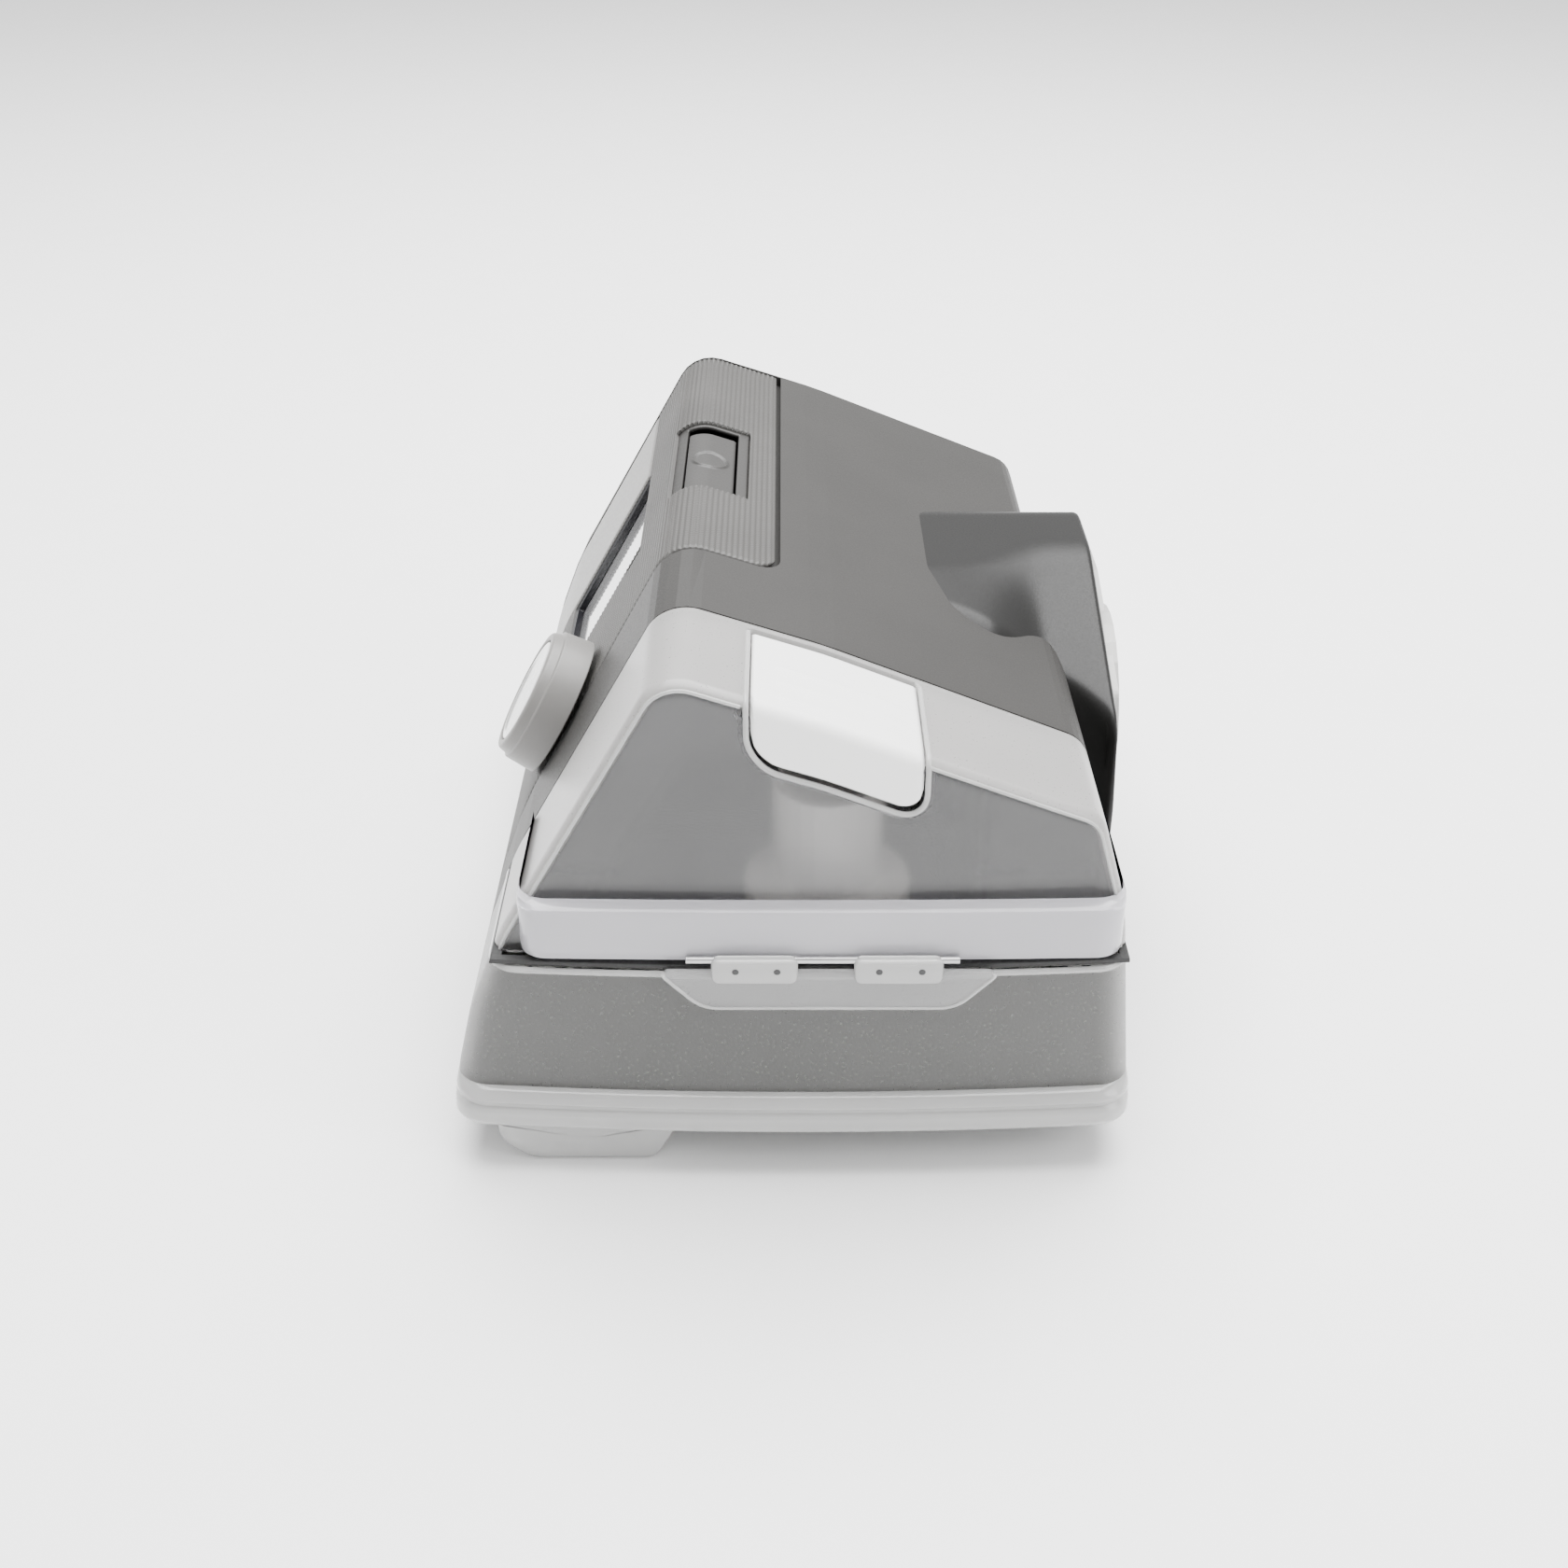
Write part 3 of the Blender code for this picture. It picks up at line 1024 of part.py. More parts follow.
cut(sd_socket, box("sd_slot", (card_left - 10.0, SD_Y - SD_WIDTH / 2 - GAP, SD_Z - SD_THICK / 2 - GAP),
                   (card_left + SD_LENGTH + SD_TRAVEL + GAP, SD_Y + SD_WIDTH / 2 + GAP,
                    SD_Z + SD_THICK / 2 + GAP)))
finish(sd_socket, "steel")


# ---------------------------------------------------------------- rear face

rear_top, rear_low = BODY_CORNERS[-3], BODY_CORNERS[-2]


def rear_at(z):
    """The y of the rear face at a height."""
    return line_at(rear_low, rear_top, z)


jack_back = rear_at(JACK_Z + JACK_HEIGHT / 2) - 0.6
power_jack = box("power_jack", (JACK_X - JACK_WIDTH / 2, jack_back - 16.0, JACK_Z - JACK_HEIGHT / 2),
                 (JACK_X + JACK_WIDTH / 2, jack_back, JACK_Z + JACK_HEIGHT / 2))
cut(power_jack, cylinder("jack_bore", (JACK_X, jack_back, JACK_Z), JACK_BORE, 2 * JACK_DEPTH, "Y", 24))
finish(power_jack, "black_plastic")


def rear_flap(name, left, right, low, top):
    """A flap that follows the rear face's skin."""
    flap = body_block(name, 0.0, left, right)
    cut(flap, body_block(name + "_core", FLAP_THICK, left - 20.0, right + 20.0))
    keep(flap, box(name + "_plan", (left - 1.0, 40.0, low), (right + 1.0, 100.0, top)))
    return finish(flap, "dark_plastic")


retention_clip = rear_flap("retention_clip", JACK_X - CLIP_WIDTH / 2, JACK_X + CLIP_WIDTH / 2, CLIP_LOW,
                           CLIP_TOP)
set_origin(retention_clip, (JACK_X, rear_at(CLIP_TOP) - 0.6, CLIP_TOP - 0.4))
adapter_cover = rear_flap("adapter_cover", ADAPTER_LEFT, ADAPTER_RIGHT, ADAPTER_LOW, ADAPTER_TOP)
set_origin(adapter_cover, ((ADAPTER_LEFT + ADAPTER_RIGHT) / 2, rear_at(ADAPTER_LOW) - 0.6,
                           ADAPTER_LOW + 0.4))


# ---------------------------------------------------------------- tub

tub_face = BODY_RIGHT + GAP
lid_low = TUB_SPLIT + TUB_SEAL + 2 * GAP


def end_plan(middle, bulge, inset, left, front=-95.0, rear=95.0, corner=0.0):
    """Plan of an end that bows outwards; inset moves every side inwards."""
    centre = (front + rear) / 2
    half = (rear - front) / 2
    bow = []
    for k in range(9):
        y = rear - (rear - front) * k / 8
        x = middle - bulge * ((y - centre) / half) ** 2
        bow.append((x, y, corner if k in (0, 8) else 0.0))
    corners = ((left, front, 0.0), (left, rear, 0.0), *bow)
    return rounded(inset_corners(corners, inset))


def tub_end(name, middle, bulge, inset, left, low, top):
    """The tub's outer end: the body's section, bowed in plan, between two heights."""
    block = prism(name, body_outline(inset), "X", left, middle + 10.0)
    keep(block, prism(name + "_plan", end_plan(middle - inset, bulge, 0.0, left - 10.0), "Z", low, top))
    return block


def tub_inner(name, inset, left, right, low, top):
    """The tub's inner part: the dock's section, clear of it by the tub gap."""
    block = prism(name, rounded(dock_corners(TUB_GAP + inset)), "X", left, right)
    keep(block, box(name + "_plan", (left - 1.0, -100.0, low), (right + 1.0, 100.0, top)))
    return block


tub_floor = TUB_LOW + TUB_WALL + 0.2
tub_base = tub_inner("tub_base", 0.0, TUB_LEFT, tub_face + 4.0, 0.0, TUB_SPLIT + 3.0)
tub_foot = prism("tub_foot", rectangle(tub_face + 8.0, TUB_FOOT_FRONT, TUB_FOOT_END, TUB_FOOT_REAR, 8.0),
                 "Z", 0.0, TUB_LOW + 1.0)
base_end_block = tub_end("base_end", TUB_END, TUB_END_BULGE, 0.0, tub_face, TUB_LOW, TUB_SPLIT + 2.0)
base_rim_block = tub_end("base_rim", TUB_RIM_END, TUB_END_BULGE, -RIM_PROUD, tub_face + 5.0,
                         TUB_LOW - RIM_PROUD, TUB_RIM_TOP)
join(tub_base, base_end_block, base_rim_block, tub_foot)
cut(tub_base,
    slab("base_split", BODY_LEFT, TUB_RIM_END + 20.0, TUB_SPLIT, 140.0),
    tub_inner("base_hollow_in", TUB_WALL, TUB_LEFT + TUB_WALL, tub_face + 10.0, tub_floor, TUB_SPLIT + 10.0),
    tub_end("base_hollow_end", TUB_END, TUB_END_BULGE, TUB_WALL, tub_face + TUB_WALL, tub_floor,
            TUB_SPLIT + 10.0))
plate_margin = 4.0
cut(tub_base, box("base_window", (HEATER_LEFT + plate_margin - GAP,
                                  HEATER_Y - HEATER_HALF + plate_margin - GAP, 0.0),
                  (HEATER_RIGHT - plate_margin + GAP, HEATER_Y + HEATER_HALF - plate_margin + GAP, 30.0)))
finish(tub_base, "smoke")

tub_heat_plate = box("tub_heat_plate", (HEATER_LEFT + plate_margin, HEATER_Y - HEATER_HALF + plate_margin,
                                        heater_top + 0.5),
                     (HEATER_RIGHT - plate_margin, HEATER_Y + HEATER_HALF - plate_margin, tub_floor), 0.4)
finish(tub_heat_plate, "steel")

seal_low = TUB_SPLIT + GAP
tub_seal = tub_inner("tub_seal", 0.0, TUB_LEFT, tub_face + 4.0, seal_low - 2.0, seal_low + TUB_SEAL + 2.0)
join(tub_seal, tub_end("seal_end", TUB_END, TUB_END_BULGE, 0.0, tub_face, seal_low - 1.0,
                       seal_low + TUB_SEAL + 1.0))
cut(tub_seal,
    slab("seal_below", BODY_LEFT, TUB_RIM_END + 20.0, 0.0, seal_low),
    slab("seal_above", BODY_LEFT, TUB_RIM_END + 20.0, seal_low + TUB_SEAL, 140.0),
    tub_inner("seal_hollow_in", TUB_WALL, TUB_LEFT + TUB_WALL, tub_face + 10.0, 30.0, 80.0),
    tub_end("seal_hollow_end", TUB_END, TUB_END_BULGE, TUB_WALL, tub_face + TUB_WALL, 30.0, 80.0))
finish(tub_seal, "clear")

# Lid: its end follows the body's section; a flange runs round it above the seal
tub_lid = tub_inner("tub_lid", 0.0, TUB_LEFT, tub_face + 4.0, lid_low - 3.0, 200.0)
lid_flange = prism("lid_flange", end_plan(FLANGE_END, 2.0, 0.0, tub_face + 2.0, FLANGE_FRONT,
                                          FLANGE_REAR, 6.0),
                   "Z", lid_low - 1.0, FLANGE_TOP)
lip_front = GRIP_FRONT - LIP_FRONT_REACH
lip_rear = GRIP_REAR + LIP_REAR_REACH
lid_lip = box("lid_lip", (TUB_END + 0.8, lip_front, HINGE_Z - LIP_DROP),
              (TUB_END + 0.8 + LIP_THICK, lip_rear, lid_low + 2.4))
lid_bridge = box("lid_bridge", (FLANGE_END - 6.0, lip_front - 0.5, lid_low + 0.2),
                 (TUB_END + 3.0, lip_rear + 0.5, lid_low + 3.4))
join(tub_lid, tub_end("lid_end", LID_END, LID_END_BULGE, 0.0, tub_face, lid_low - 2.0, 200.0), lid_flange)
cut(tub_lid, slab("lid_split", BODY_LEFT, TUB_RIM_END + 20.0, 0.0, lid_low))
join(tub_lid, lid_bridge, lid_lip)
lid_hollow_end = tub_end("lid_hollow_end", LID_END, LID_END_BULGE, TUB_WALL, tub_face + TUB_WALL, 30.0,
                         200.0)
cut(lid_hollow_end, box("grip_backing", (tub_face, GRIP_FRONT - 2.5, GRIP_BACKING_LOW),
                        (LID_END + 20.0, GRIP_REAR + 2.5, 200.0)))
cut(tub_lid,
    tub_inner("lid_hollow_in", TUB_WALL, TUB_LEFT + TUB_WALL, tub_face + 10.0, 30.0,
              DOCK_ROOF - TUB_GAP - TUB_WALL),
    lid_hollow_end,
    cylinder("lid_port_in", (TUB_LEFT, PORT_IN_Y, PORT_Z), PORT_RADIUS, 12.0, "X", 24),
    cylinder("lid_port_out", (TUB_LEFT, PORT_OUT_Y, PORT_Z), PORT_RADIUS, 12.0, "X", 24))


def grip_skin(name, top_depth, end_depth, drop, front, rear, left):
    """The lid's skin over its top and down its end, between two depths and two widths."""
    skin = prism(name, body_outline(0.0 if top_depth == GRIP_THICK else -5.0), "X", left,
                 LID_END + 10.0)
    outer = LID_END if top_depth == GRIP_THICK else LID_END + 5.0
    keep(skin, prism(name + "_plan", end_plan(outer, LID_END_BULGE, 0.0, left - 10.0), "Z", 60.0, 200.0),
         box(name + "_width", (left - 1.0, front, 60.0), (LID_END + 20.0, rear, 200.0)))
    core = prism(name + "_core", body_outline(top_depth), "X", left - 20.0, LID_END + 20.0)
    keep(core, prism(name + "_core_plan", end_plan(LID_END - end_depth, LID_END_BULGE, 0.0, left - 30.0),
                     "Z", 40.0, 220.0))
    below = prism(name + "_below", body_outline(drop), "X", left - 40.0, LID_END + 40.0)
    return cut(skin, core, below)


tub_grip = grip_skin("tub_grip", GRIP_THICK, GRIP_THICK, GRIP_DROP, GRIP_FRONT, GRIP_REAR, GRIP_LEFT)
finish(tub_grip, "white_soft")
cut(tub_lid, grip_skin("grip_pocket", GRIP_THICK + GRIP_TRAVEL + GAP, GRIP_THICK + GAP,
                       GRIP_DROP + GRIP_TRAVEL + GAP, GRIP_FRONT - GAP, GRIP_REAR + GAP, GRIP_LEFT - GAP))
pin_x = TUB_END + 0.6
pin_z = lid_low + 1.7
cut(tub_lid, cylinder("pin_bore", (pin_x, (lip_front + lip_rear) / 2, pin_z), HINGE_PIN - 0.2, 200.0,
                      "Y", 16))
finish(tub_lid, "clear")
lid_pin = cylinder("lid_hinge_pin", (pin_x, (lip_front + lip_rear) / 2, pin_z), HINGE_PIN - 0.2 - GAP,
                   lip_rear - lip_front - 2.0, "Y", 16)
finish(lid_pin, "steel")

tub_baffle = turned("tub_baffle", (
    (AIR_TUBE_RADIUS - AIR_TUBE_WALL, AIR_TUBE_TOP), (AIR_TUBE_RADIUS, AIR_TUBE_TOP),
    (AIR_TUBE_RADIUS, AIR_TUBE_FOOT), (AIR_RING_RADIUS, AIR_RING_TOP), (AIR_RING_RADIUS, AIR_RING_LOW),
    (AIR_TUBE_RADIUS - AIR_TUBE_WALL, AIR_RING_LOW)),
    (AIR_TUBE_X, AIR_TUBE_Y, 0.0), upright, 24, closed=True)
finish(tub_baffle, "white_soft")


# ---------------------------------------------------------------- feet and screws

for i, (x, y) in enumerate(FOOT_PLACES):
    foot_top = BODY_FLOOR - GAP
    foot = turned(f"foot_{i + 1}", ((0.0, BODY_FLOOR + 4.0), (FOOT_STEM, BODY_FLOOR + 4.0),
                                    (FOOT_STEM, foot_top),
                                    (FOOT_RADIUS, foot_top), (FOOT_RADIUS - 0.8, 0.0), (0.0, 0.0)),
                  (x, y, 0.0), upright, 16)
    finish(foot, "rubber")

for i, (x, y) in enumerate(SCREW_PLACES):
    head_low = BODY_FLOOR + GAP
    head_top = head_low + SCREW_HEAD_HEIGHT
    screw_top = POST_TOP - 3.0
    screw = turned(f"screw_{i + 1}", ((0.0, screw_top), (SCREW_RADIUS, screw_top - 0.6),
                                      (SCREW_RADIUS, head_top),
                                      (SCREW_HEAD, head_top), (SCREW_HEAD, head_low), (0.0, head_low)),
                   (x, y, 0.0), upright, 12)
    finish(screw, "steel")

for obj in parts.objects:
    obj.data.shade_smooth()
    obj.data.set_sharp_from_angle(angle=math.radians(SMOOTH_ANGLE))
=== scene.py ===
import math

import bpy
import numpy as np
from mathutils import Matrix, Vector


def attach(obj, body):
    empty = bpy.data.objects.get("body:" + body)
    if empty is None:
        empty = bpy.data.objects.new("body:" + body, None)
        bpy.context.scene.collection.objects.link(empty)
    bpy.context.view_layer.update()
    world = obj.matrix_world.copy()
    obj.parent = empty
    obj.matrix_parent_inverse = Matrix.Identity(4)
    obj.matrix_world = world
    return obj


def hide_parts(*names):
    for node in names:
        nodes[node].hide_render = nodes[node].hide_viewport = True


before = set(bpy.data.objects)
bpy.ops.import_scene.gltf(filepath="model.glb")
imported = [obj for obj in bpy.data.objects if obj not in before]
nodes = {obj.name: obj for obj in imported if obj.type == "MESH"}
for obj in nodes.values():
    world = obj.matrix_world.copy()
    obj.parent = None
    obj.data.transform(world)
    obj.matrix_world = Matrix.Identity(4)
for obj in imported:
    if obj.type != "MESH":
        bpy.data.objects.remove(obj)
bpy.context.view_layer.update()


# ---- Floor, light and camera
# A plain pale table top, lit by a soft white room with one large soft box overhead.
# The camera looks at the tub's end from half above.

def mesh_piece(name, points, faces):
    """An object at the origin from points in millimetres and faces as index rows."""
    mesh = bpy.data.meshes.new(name)
    metres = np.asarray(points, float).reshape(-1, 3) * 0.001
    mesh.from_pydata(metres.tolist(), [], [list(face) for face in faces])
    mesh.validate()
    mesh.shade_smooth()
    mesh.set_sharp_from_angle(angle=math.radians(40.0))
    piece = bpy.data.objects.new(name, mesh)
    bpy.context.scene.collection.objects.link(piece)
    return piece


def surface(name, grid, wrap=False, start=False, end=False, keep=None):
    """A mesh over a grid of points, rows by columns.

    Cell (r, c) joins points (r, c), (r, c + 1), (r + 1, c + 1) and (r + 1, c). wrap joins the last column
    to the first; start and end close the first and last row on its mean point; keep drops cells.
    """
    rows, columns = grid.shape[:2]
    index = np.arange(rows * columns).reshape(rows, columns)
    right = np.roll(index, -1, axis=1) if wrap else index[:, 1:]
    left = index if wrap else index[:, :-1]
    cells = np.stack((left[:-1], right[:-1], right[1:], left[1:]), axis=-1)
    quads = cells[keep] if keep is not None else cells.reshape(-1, 4)
    points = grid.reshape(-1, 3)
    faces = quads.tolist()
    if start:
        points = np.vstack((points, grid[0].mean(axis=0)))
        faces += np.stack((right[0], left[0], np.full(len(left[0]), len(points) - 1)), axis=-1).tolist()
    if end:
        points = np.vstack((points, grid[-1].mean(axis=0)))
        faces += np.stack((left[-1], right[-1], np.full(len(left[-1]), len(points) - 1)), axis=-1).tolist()
    return mesh_piece(name, points, faces)


def faced_out(piece, middle=(0.0, 0.0, 40.0)):
    """Turn the faces so that, over the whole piece, they look away from a point inside it."""
    polygons = piece.data.polygons
    centres = np.zeros(len(polygons) * 3)
    normals = np.zeros(len(polygons) * 3)
    areas = np.zeros(len(polygons))
    polygons.foreach_get("center", centres)
    polygons.foreach_get("normal", normals)
    polygons.foreach_get("area", areas)
    reach = centres.reshape(-1, 3) - np.array(middle) * 0.001
    if (np.einsum("ij,ij->i", reach, normals.reshape(-1, 3)) * areas).sum() < 0:
        piece.data.flip_normals()
    return piece


def material(name):
    """An empty node material with its output, shader and object coordinates."""
    made = bpy.data.materials.new(name)
    made.use_nodes = True
    tree = made.node_tree
    shader = tree.nodes["Principled BSDF"]
    place = tree.nodes.new("ShaderNodeTexCoord")
    return made, tree, shader, place.outputs["Object"]


def grain(tree, place, size, detail=3.0, stretch=(1.0, 1.0, 1.0)):
    """Noise whose patches are about size millimetres across, stretched along the axes."""
    mapping = tree.nodes.new("ShaderNodeMapping")
    mapping.inputs["Scale"].default_value = stretch
    noise = tree.nodes.new("ShaderNodeTexNoise")
    noise.inputs["Scale"].default_value = 1000.0 / size
    noise.inputs["Detail"].default_value = detail
    tree.links.new(place, mapping.inputs["Vector"])
    tree.links.new(mapping.outputs["Vector"], noise.inputs["Vector"])
    return noise.outputs["Fac"]


def spread(tree, value, low, high):
    """The middle of a noise stretched to run from low to high."""
    node = tree.nodes.new("ShaderNodeMapRange")
    node.inputs["From Min"].default_value = 0.3
    node.inputs["From Max"].default_value = 0.7
    node.inputs["To Min"].default_value = low
    node.inputs["To Max"].default_value = high
    tree.links.new(value, node.inputs["Value"])
    return node.outputs["Result"]


def two_tone(tree, value, dark, light):
    """A colour between two, by a value."""
    node = tree.nodes.new("ShaderNodeMix")
    node.data_type = "RGBA"
    node.inputs["A"].default_value = (*dark, 1.0)
    node.inputs["B"].default_value = (*light, 1.0)
    tree.links.new(value, node.inputs["Factor"])
    return node.outputs["Result"]


def relief(tree, shader, value, depth, strength=1.0):
    """Bump of that depth, in millimetres."""
    node = tree.nodes.new("ShaderNodeBump")
    node.inputs["Strength"].default_value = strength
    node.inputs["Distance"].default_value = depth * 0.001
    tree.links.new(value, node.inputs["Height"])
    tree.links.new(node.outputs["Normal"], shader.inputs["Normal"])
    return node


def moulded(name, colour, rough, size=0.35, depth=0.02, shade=0.07, metal=0.0, stretch=(1.0, 1.0, 1.0)):
    """Moulded or milled finish: a fine grain in the relief and gloss, and a slow drift in the colour."""
    made, tree, shader, place = material(name)
    fine = grain(tree, place, size, 4.0, stretch)
    slow = grain(tree, place, 22.0, 2.0)
    dark = [c * (1.0 - shade) for c in colour]
    light = [min(c * (1.0 + shade), 1.0) for c in colour]
    tree.links.new(two_tone(tree, spread(tree, slow, 0.0, 1.0), dark, light), shader.inputs["Base Color"])
    tree.links.new(spread(tree, fine, rough - 0.06, rough + 0.08), shader.inputs["Roughness"])
    relief(tree, shader, fine, depth)
    shader.inputs["Metallic"].default_value = metal
    return made


def clear_moulded(name, colour, rough, clear, size=0.5, depth=0.01, haze=0.0):
    """Clear or frosted plastic: clear is the share of light let through; haze scatters it unevenly."""
    made, tree, shader, place = material(name)
    fine = grain(tree, place, size, 3.0)
    slow = grain(tree, place, 30.0, 2.0)
    dark = [c * 0.94 for c in colour]
    tree.links.new(two_tone(tree, spread(tree, slow, 0.0, 1.0), dark, colour), shader.inputs["Base Color"])
    tree.links.new(spread(tree, fine, rough - 0.03 - haze, rough + 0.03 + haze), shader.inputs["Roughness"])
    relief(tree, shader, fine, depth)
    shader.inputs["Transmission Weight"].default_value = clear
    shader.inputs["IOR"].default_value = 1.49
    return made


def paint(target, *finishes):
    """Give a piece or a CAD node its finishes."""
    target.data.materials.clear()
    for each in finishes:
        target.data.materials.append(each)
    return target


def add(piece, body, slot, *finishes, stands_for=()):
    """Finish a piece, fix it to its body, and hide the CAD nodes that it stands for."""
    paint(piece, *finishes)
    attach(piece, body)
    if stands_for:
        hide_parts(*stands_for)
    return piece


def shell(piece, thick, offset=-1.0):
    """A wall of that thickness behind a skin."""
    wall = piece.modifiers.new("wall", "SOLIDIFY")
    wall.thickness = thick * 0.001
    wall.offset = offset
    wall.use_even_offset = True
    return piece


def softened(piece, width=0.35, steps=2):
    """Rounded edges where two faces meet at more than 35 degrees, once the loose triangles are merged."""
    joined = piece.modifiers.new("join", "WELD")
    joined.merge_threshold = 0.00002
    edge = piece.modifiers.new("edge", "BEVEL")
    edge.width = width * 0.001
    edge.segments = steps
    edge.limit_method = "ANGLE"
    edge.angle_limit = math.radians(35.0)
    edge.use_clamp_overlap = True
    edge.harden_normals = True
    return piece


floor_line = np.linspace(-3000.0, 3000.0, 25)
floor_grid = np.stack(np.meshgrid(floor_line, floor_line), axis=-1)
floor = surface("floor", np.dstack((floor_grid, np.zeros(floor_grid.shape[:2]) - 0.05)))
paint(floor, moulded("table_top", (0.93, 0.93, 0.93), 0.6, 3.0, 0.01, 0.006))

world = bpy.data.worlds.new("room")
world.use_nodes = True
world.node_tree.nodes["Background"].inputs["Color"].default_value = (1.0, 1.0, 1.0, 1.0)
world.node_tree.nodes["Background"].inputs["Strength"].default_value = 1.1
bpy.context.scene.world = world


def soft_box(name, place, aim, width, height, power):
    """A large rectangular light at a place, facing an aim."""
    light = bpy.data.lights.new(name, "AREA")
    light.shape = "RECTANGLE"
    light.size = width
    light.size_y = height
    light.energy = power
    lamp = bpy.data.objects.new(name, light)
    lamp.location = place
    lamp.rotation_euler = (Vector(aim) - Vector(place)).to_track_quat("-Z", "Y").to_euler()
    bpy.context.scene.collection.objects.link(lamp)
    return lamp


soft_box("overhead", (-0.25, 0.05, 1.1), (0.0, 0.0, 0.05), 1.2, 1.2, 58.0)
soft_box("rear_side", (0.55, 1.0, 0.55), (0.02, 0.05, 0.06), 0.5, 0.9, 9.0)

lens = bpy.data.cameras.new("camera")
lens.lens = 43.33
lens.sensor_width = 36.0
lens.shift_x = 2.0 / 1680.0
lens.clip_start = 0.01
camera = bpy.data.objects.new("camera", lens)
camera.location = (0.4084, -0.0035, 0.2831)
camera.rotation_euler = (math.radians(90.0 - 31.0), 0.0, math.radians(90.0))
bpy.context.scene.collection.objects.link(camera)
bpy.context.scene.camera = camera


# ---- Base cover and main housing
# Injection-moulded dark grey shells with a fine spark-eroded skin. The cover is screwed up into the
# housing from below; the housing carries every other piece of the main unit.

DARK = (0.024, 0.023, 0.0215)
dark_skin = moulded("spark_eroded_grey", DARK, 0.50, 0.40, 0.030, 0.05)
for name in ("base_cover", "main_housing"):
    softened(paint(nodes[name], dark_skin), 0.3, 2)


# ---- Shape of the body
# Every outer piece follows one section of the body, seen from the tub's end.

BODY_SECTION = (
    (-75.0, 4.0, 3.0), (-73.6, 20.0, 60.0), (-69.3, 38.0, 60.0), (-62.0, 57.0, 60.0), (-27.5, 118.0, 9.5),
    (5.0, 107.4, 80.0), (60.5, 85.1, 8.0), (66.8, 63.0, 60.0), (71.2, 18.0, 60.0), (71.8, 4.0, 3.0))


def arcs(corners, step=2.0, closed=True):
    """A line through corners, each rounded by the arc that touches its two sides.

    The arc starts radius / tan(half the corner's angle) before the corner, at most 0.48 of a side.
    """
    corners = [np.array(c, float) for c in corners]
    pieces = []
    for i, corner in enumerate(corners):
        here = corner[:2]
        if not closed and i in (0, len(corners) - 1):
            pieces.append(here[None])
            continue
        to_before = corners[i - 1][:2] - here
        to_after = corners[(i + 1) % len(corners)][:2] - here
        before = to_before / np.linalg.norm(to_before)
        after = to_after / np.linalg.norm(to_after)
        half = math.acos(float(np.clip(before @ after, -1.0, 1.0))) / 2
        if corner[2] <= 0 or half > math.radians(89.7):
            pieces.append(here[None])
            continue
        shorter = min(np.linalg.norm(to_before), np.linalg.norm(to_after))
        reach = min(corner[2] / math.tan(half), 0.48 * shorter)
        radius = reach * math.tan(half)
        bisector = (before + after) / np.linalg.norm(before + after)
        centre = here + bisector * radius / math.sin(half)
        first = here + before * reach - centre
        last = here + after * reach - centre
        sweep = math.pi - 2 * half
        count = max(2, math.ceil(math.degrees(sweep) / step))
        t = np.linspace(0.0, 1.0, count + 1)[:, None]
        pieces.append(centre + (np.sin((1 - t) * sweep) * first + np.sin(t * sweep) * last) / math.sin(sweep))
    return np.vstack(pieces)


class Track:
    """A line in a plane, read by the distance along it, with its outward normal to the left of travel."""

    def __init__(self, line, closed=False):
        line = np.vstack((line, line[:1])) if closed else line
        step = np.linalg.norm(np.diff(line, axis=0), axis=1)
        fresh = np.concatenate(([True], step > 1e-6))
        self.line = line[fresh]
        self.along = np.concatenate(([0.0], np.cumsum(np.linalg.norm(np.diff(self.line, axis=0), axis=1))))
        self.length = self.along[-1]

    def at(self, s):
        """Points at distances s."""
        return np.stack([np.interp(s, self.along, self.line[:, k]) for k in (0, 1)], axis=-1)

    def normal(self, s):
        """Unit normals at distances s, from points half a millimetre each side."""
        tangent = self.at(np.minimum(s + 0.5, self.length)) - self.at(np.maximum(s - 0.5, 0.0))
        tangent /= np.linalg.norm(tangent, axis=-1, keepdims=True)
        return np.stack((-tangent[..., 1], tangent[..., 0]), axis=-1)

    def find(self, column, value, low=0.0, high=None):
        """The distance, between low and high, where a coordinate takes a value."""
        s = np.linspace(low, self.length if high is None else high, 20001)
        return float(s[np.argmin(np.abs(self.at(s)[:, column] - value))])


body_track = Track(arcs(BODY_SECTION))
APEX_S = body_track.find(1, float(body_track.line[:, 1].max()))


def on_body(x, s, out):
    """Place (x, distance round the section, distance out of the skin) in space."""
    x, s, out = np.broadcast_arrays(x, s, out)
    flat = body_track.at(s) + body_track.normal(s) * out[..., None]
    return np.stack((x, flat[..., 0], flat[..., 1]), axis=-1)


# ---- Front fascia
# A mid-grey moulding that wraps from the front over the top edge, held by clips in a shallow recess. Fine
# ribs run along it; the openings for screen, light sensor, dial, buttons and side panel are moulded in.

RIB_PITCH = 1.3
RIB_DEPTH = 0.20
FASCIA_LEFT, FASCIA_TOP_RIGHT, FASCIA_LOW_RIGHT = -96.6, 30.4, 40.4
DIAL_S = body_track.find(1, 72.5, 0.0, APEX_S)
FASCIA_S0 = body_track.find(1, 35.3, 0.0, APEX_S)
FASCIA_S1 = body_track.find(0, -4.9, APEX_S)
CHANNEL_S0 = body_track.find(0, -30.3, 0.0, APEX_S)
CHANNEL_S1 = body_track.find(0, -11.5, APEX_S)
PANEL_S1 = DIAL_S + 31.6


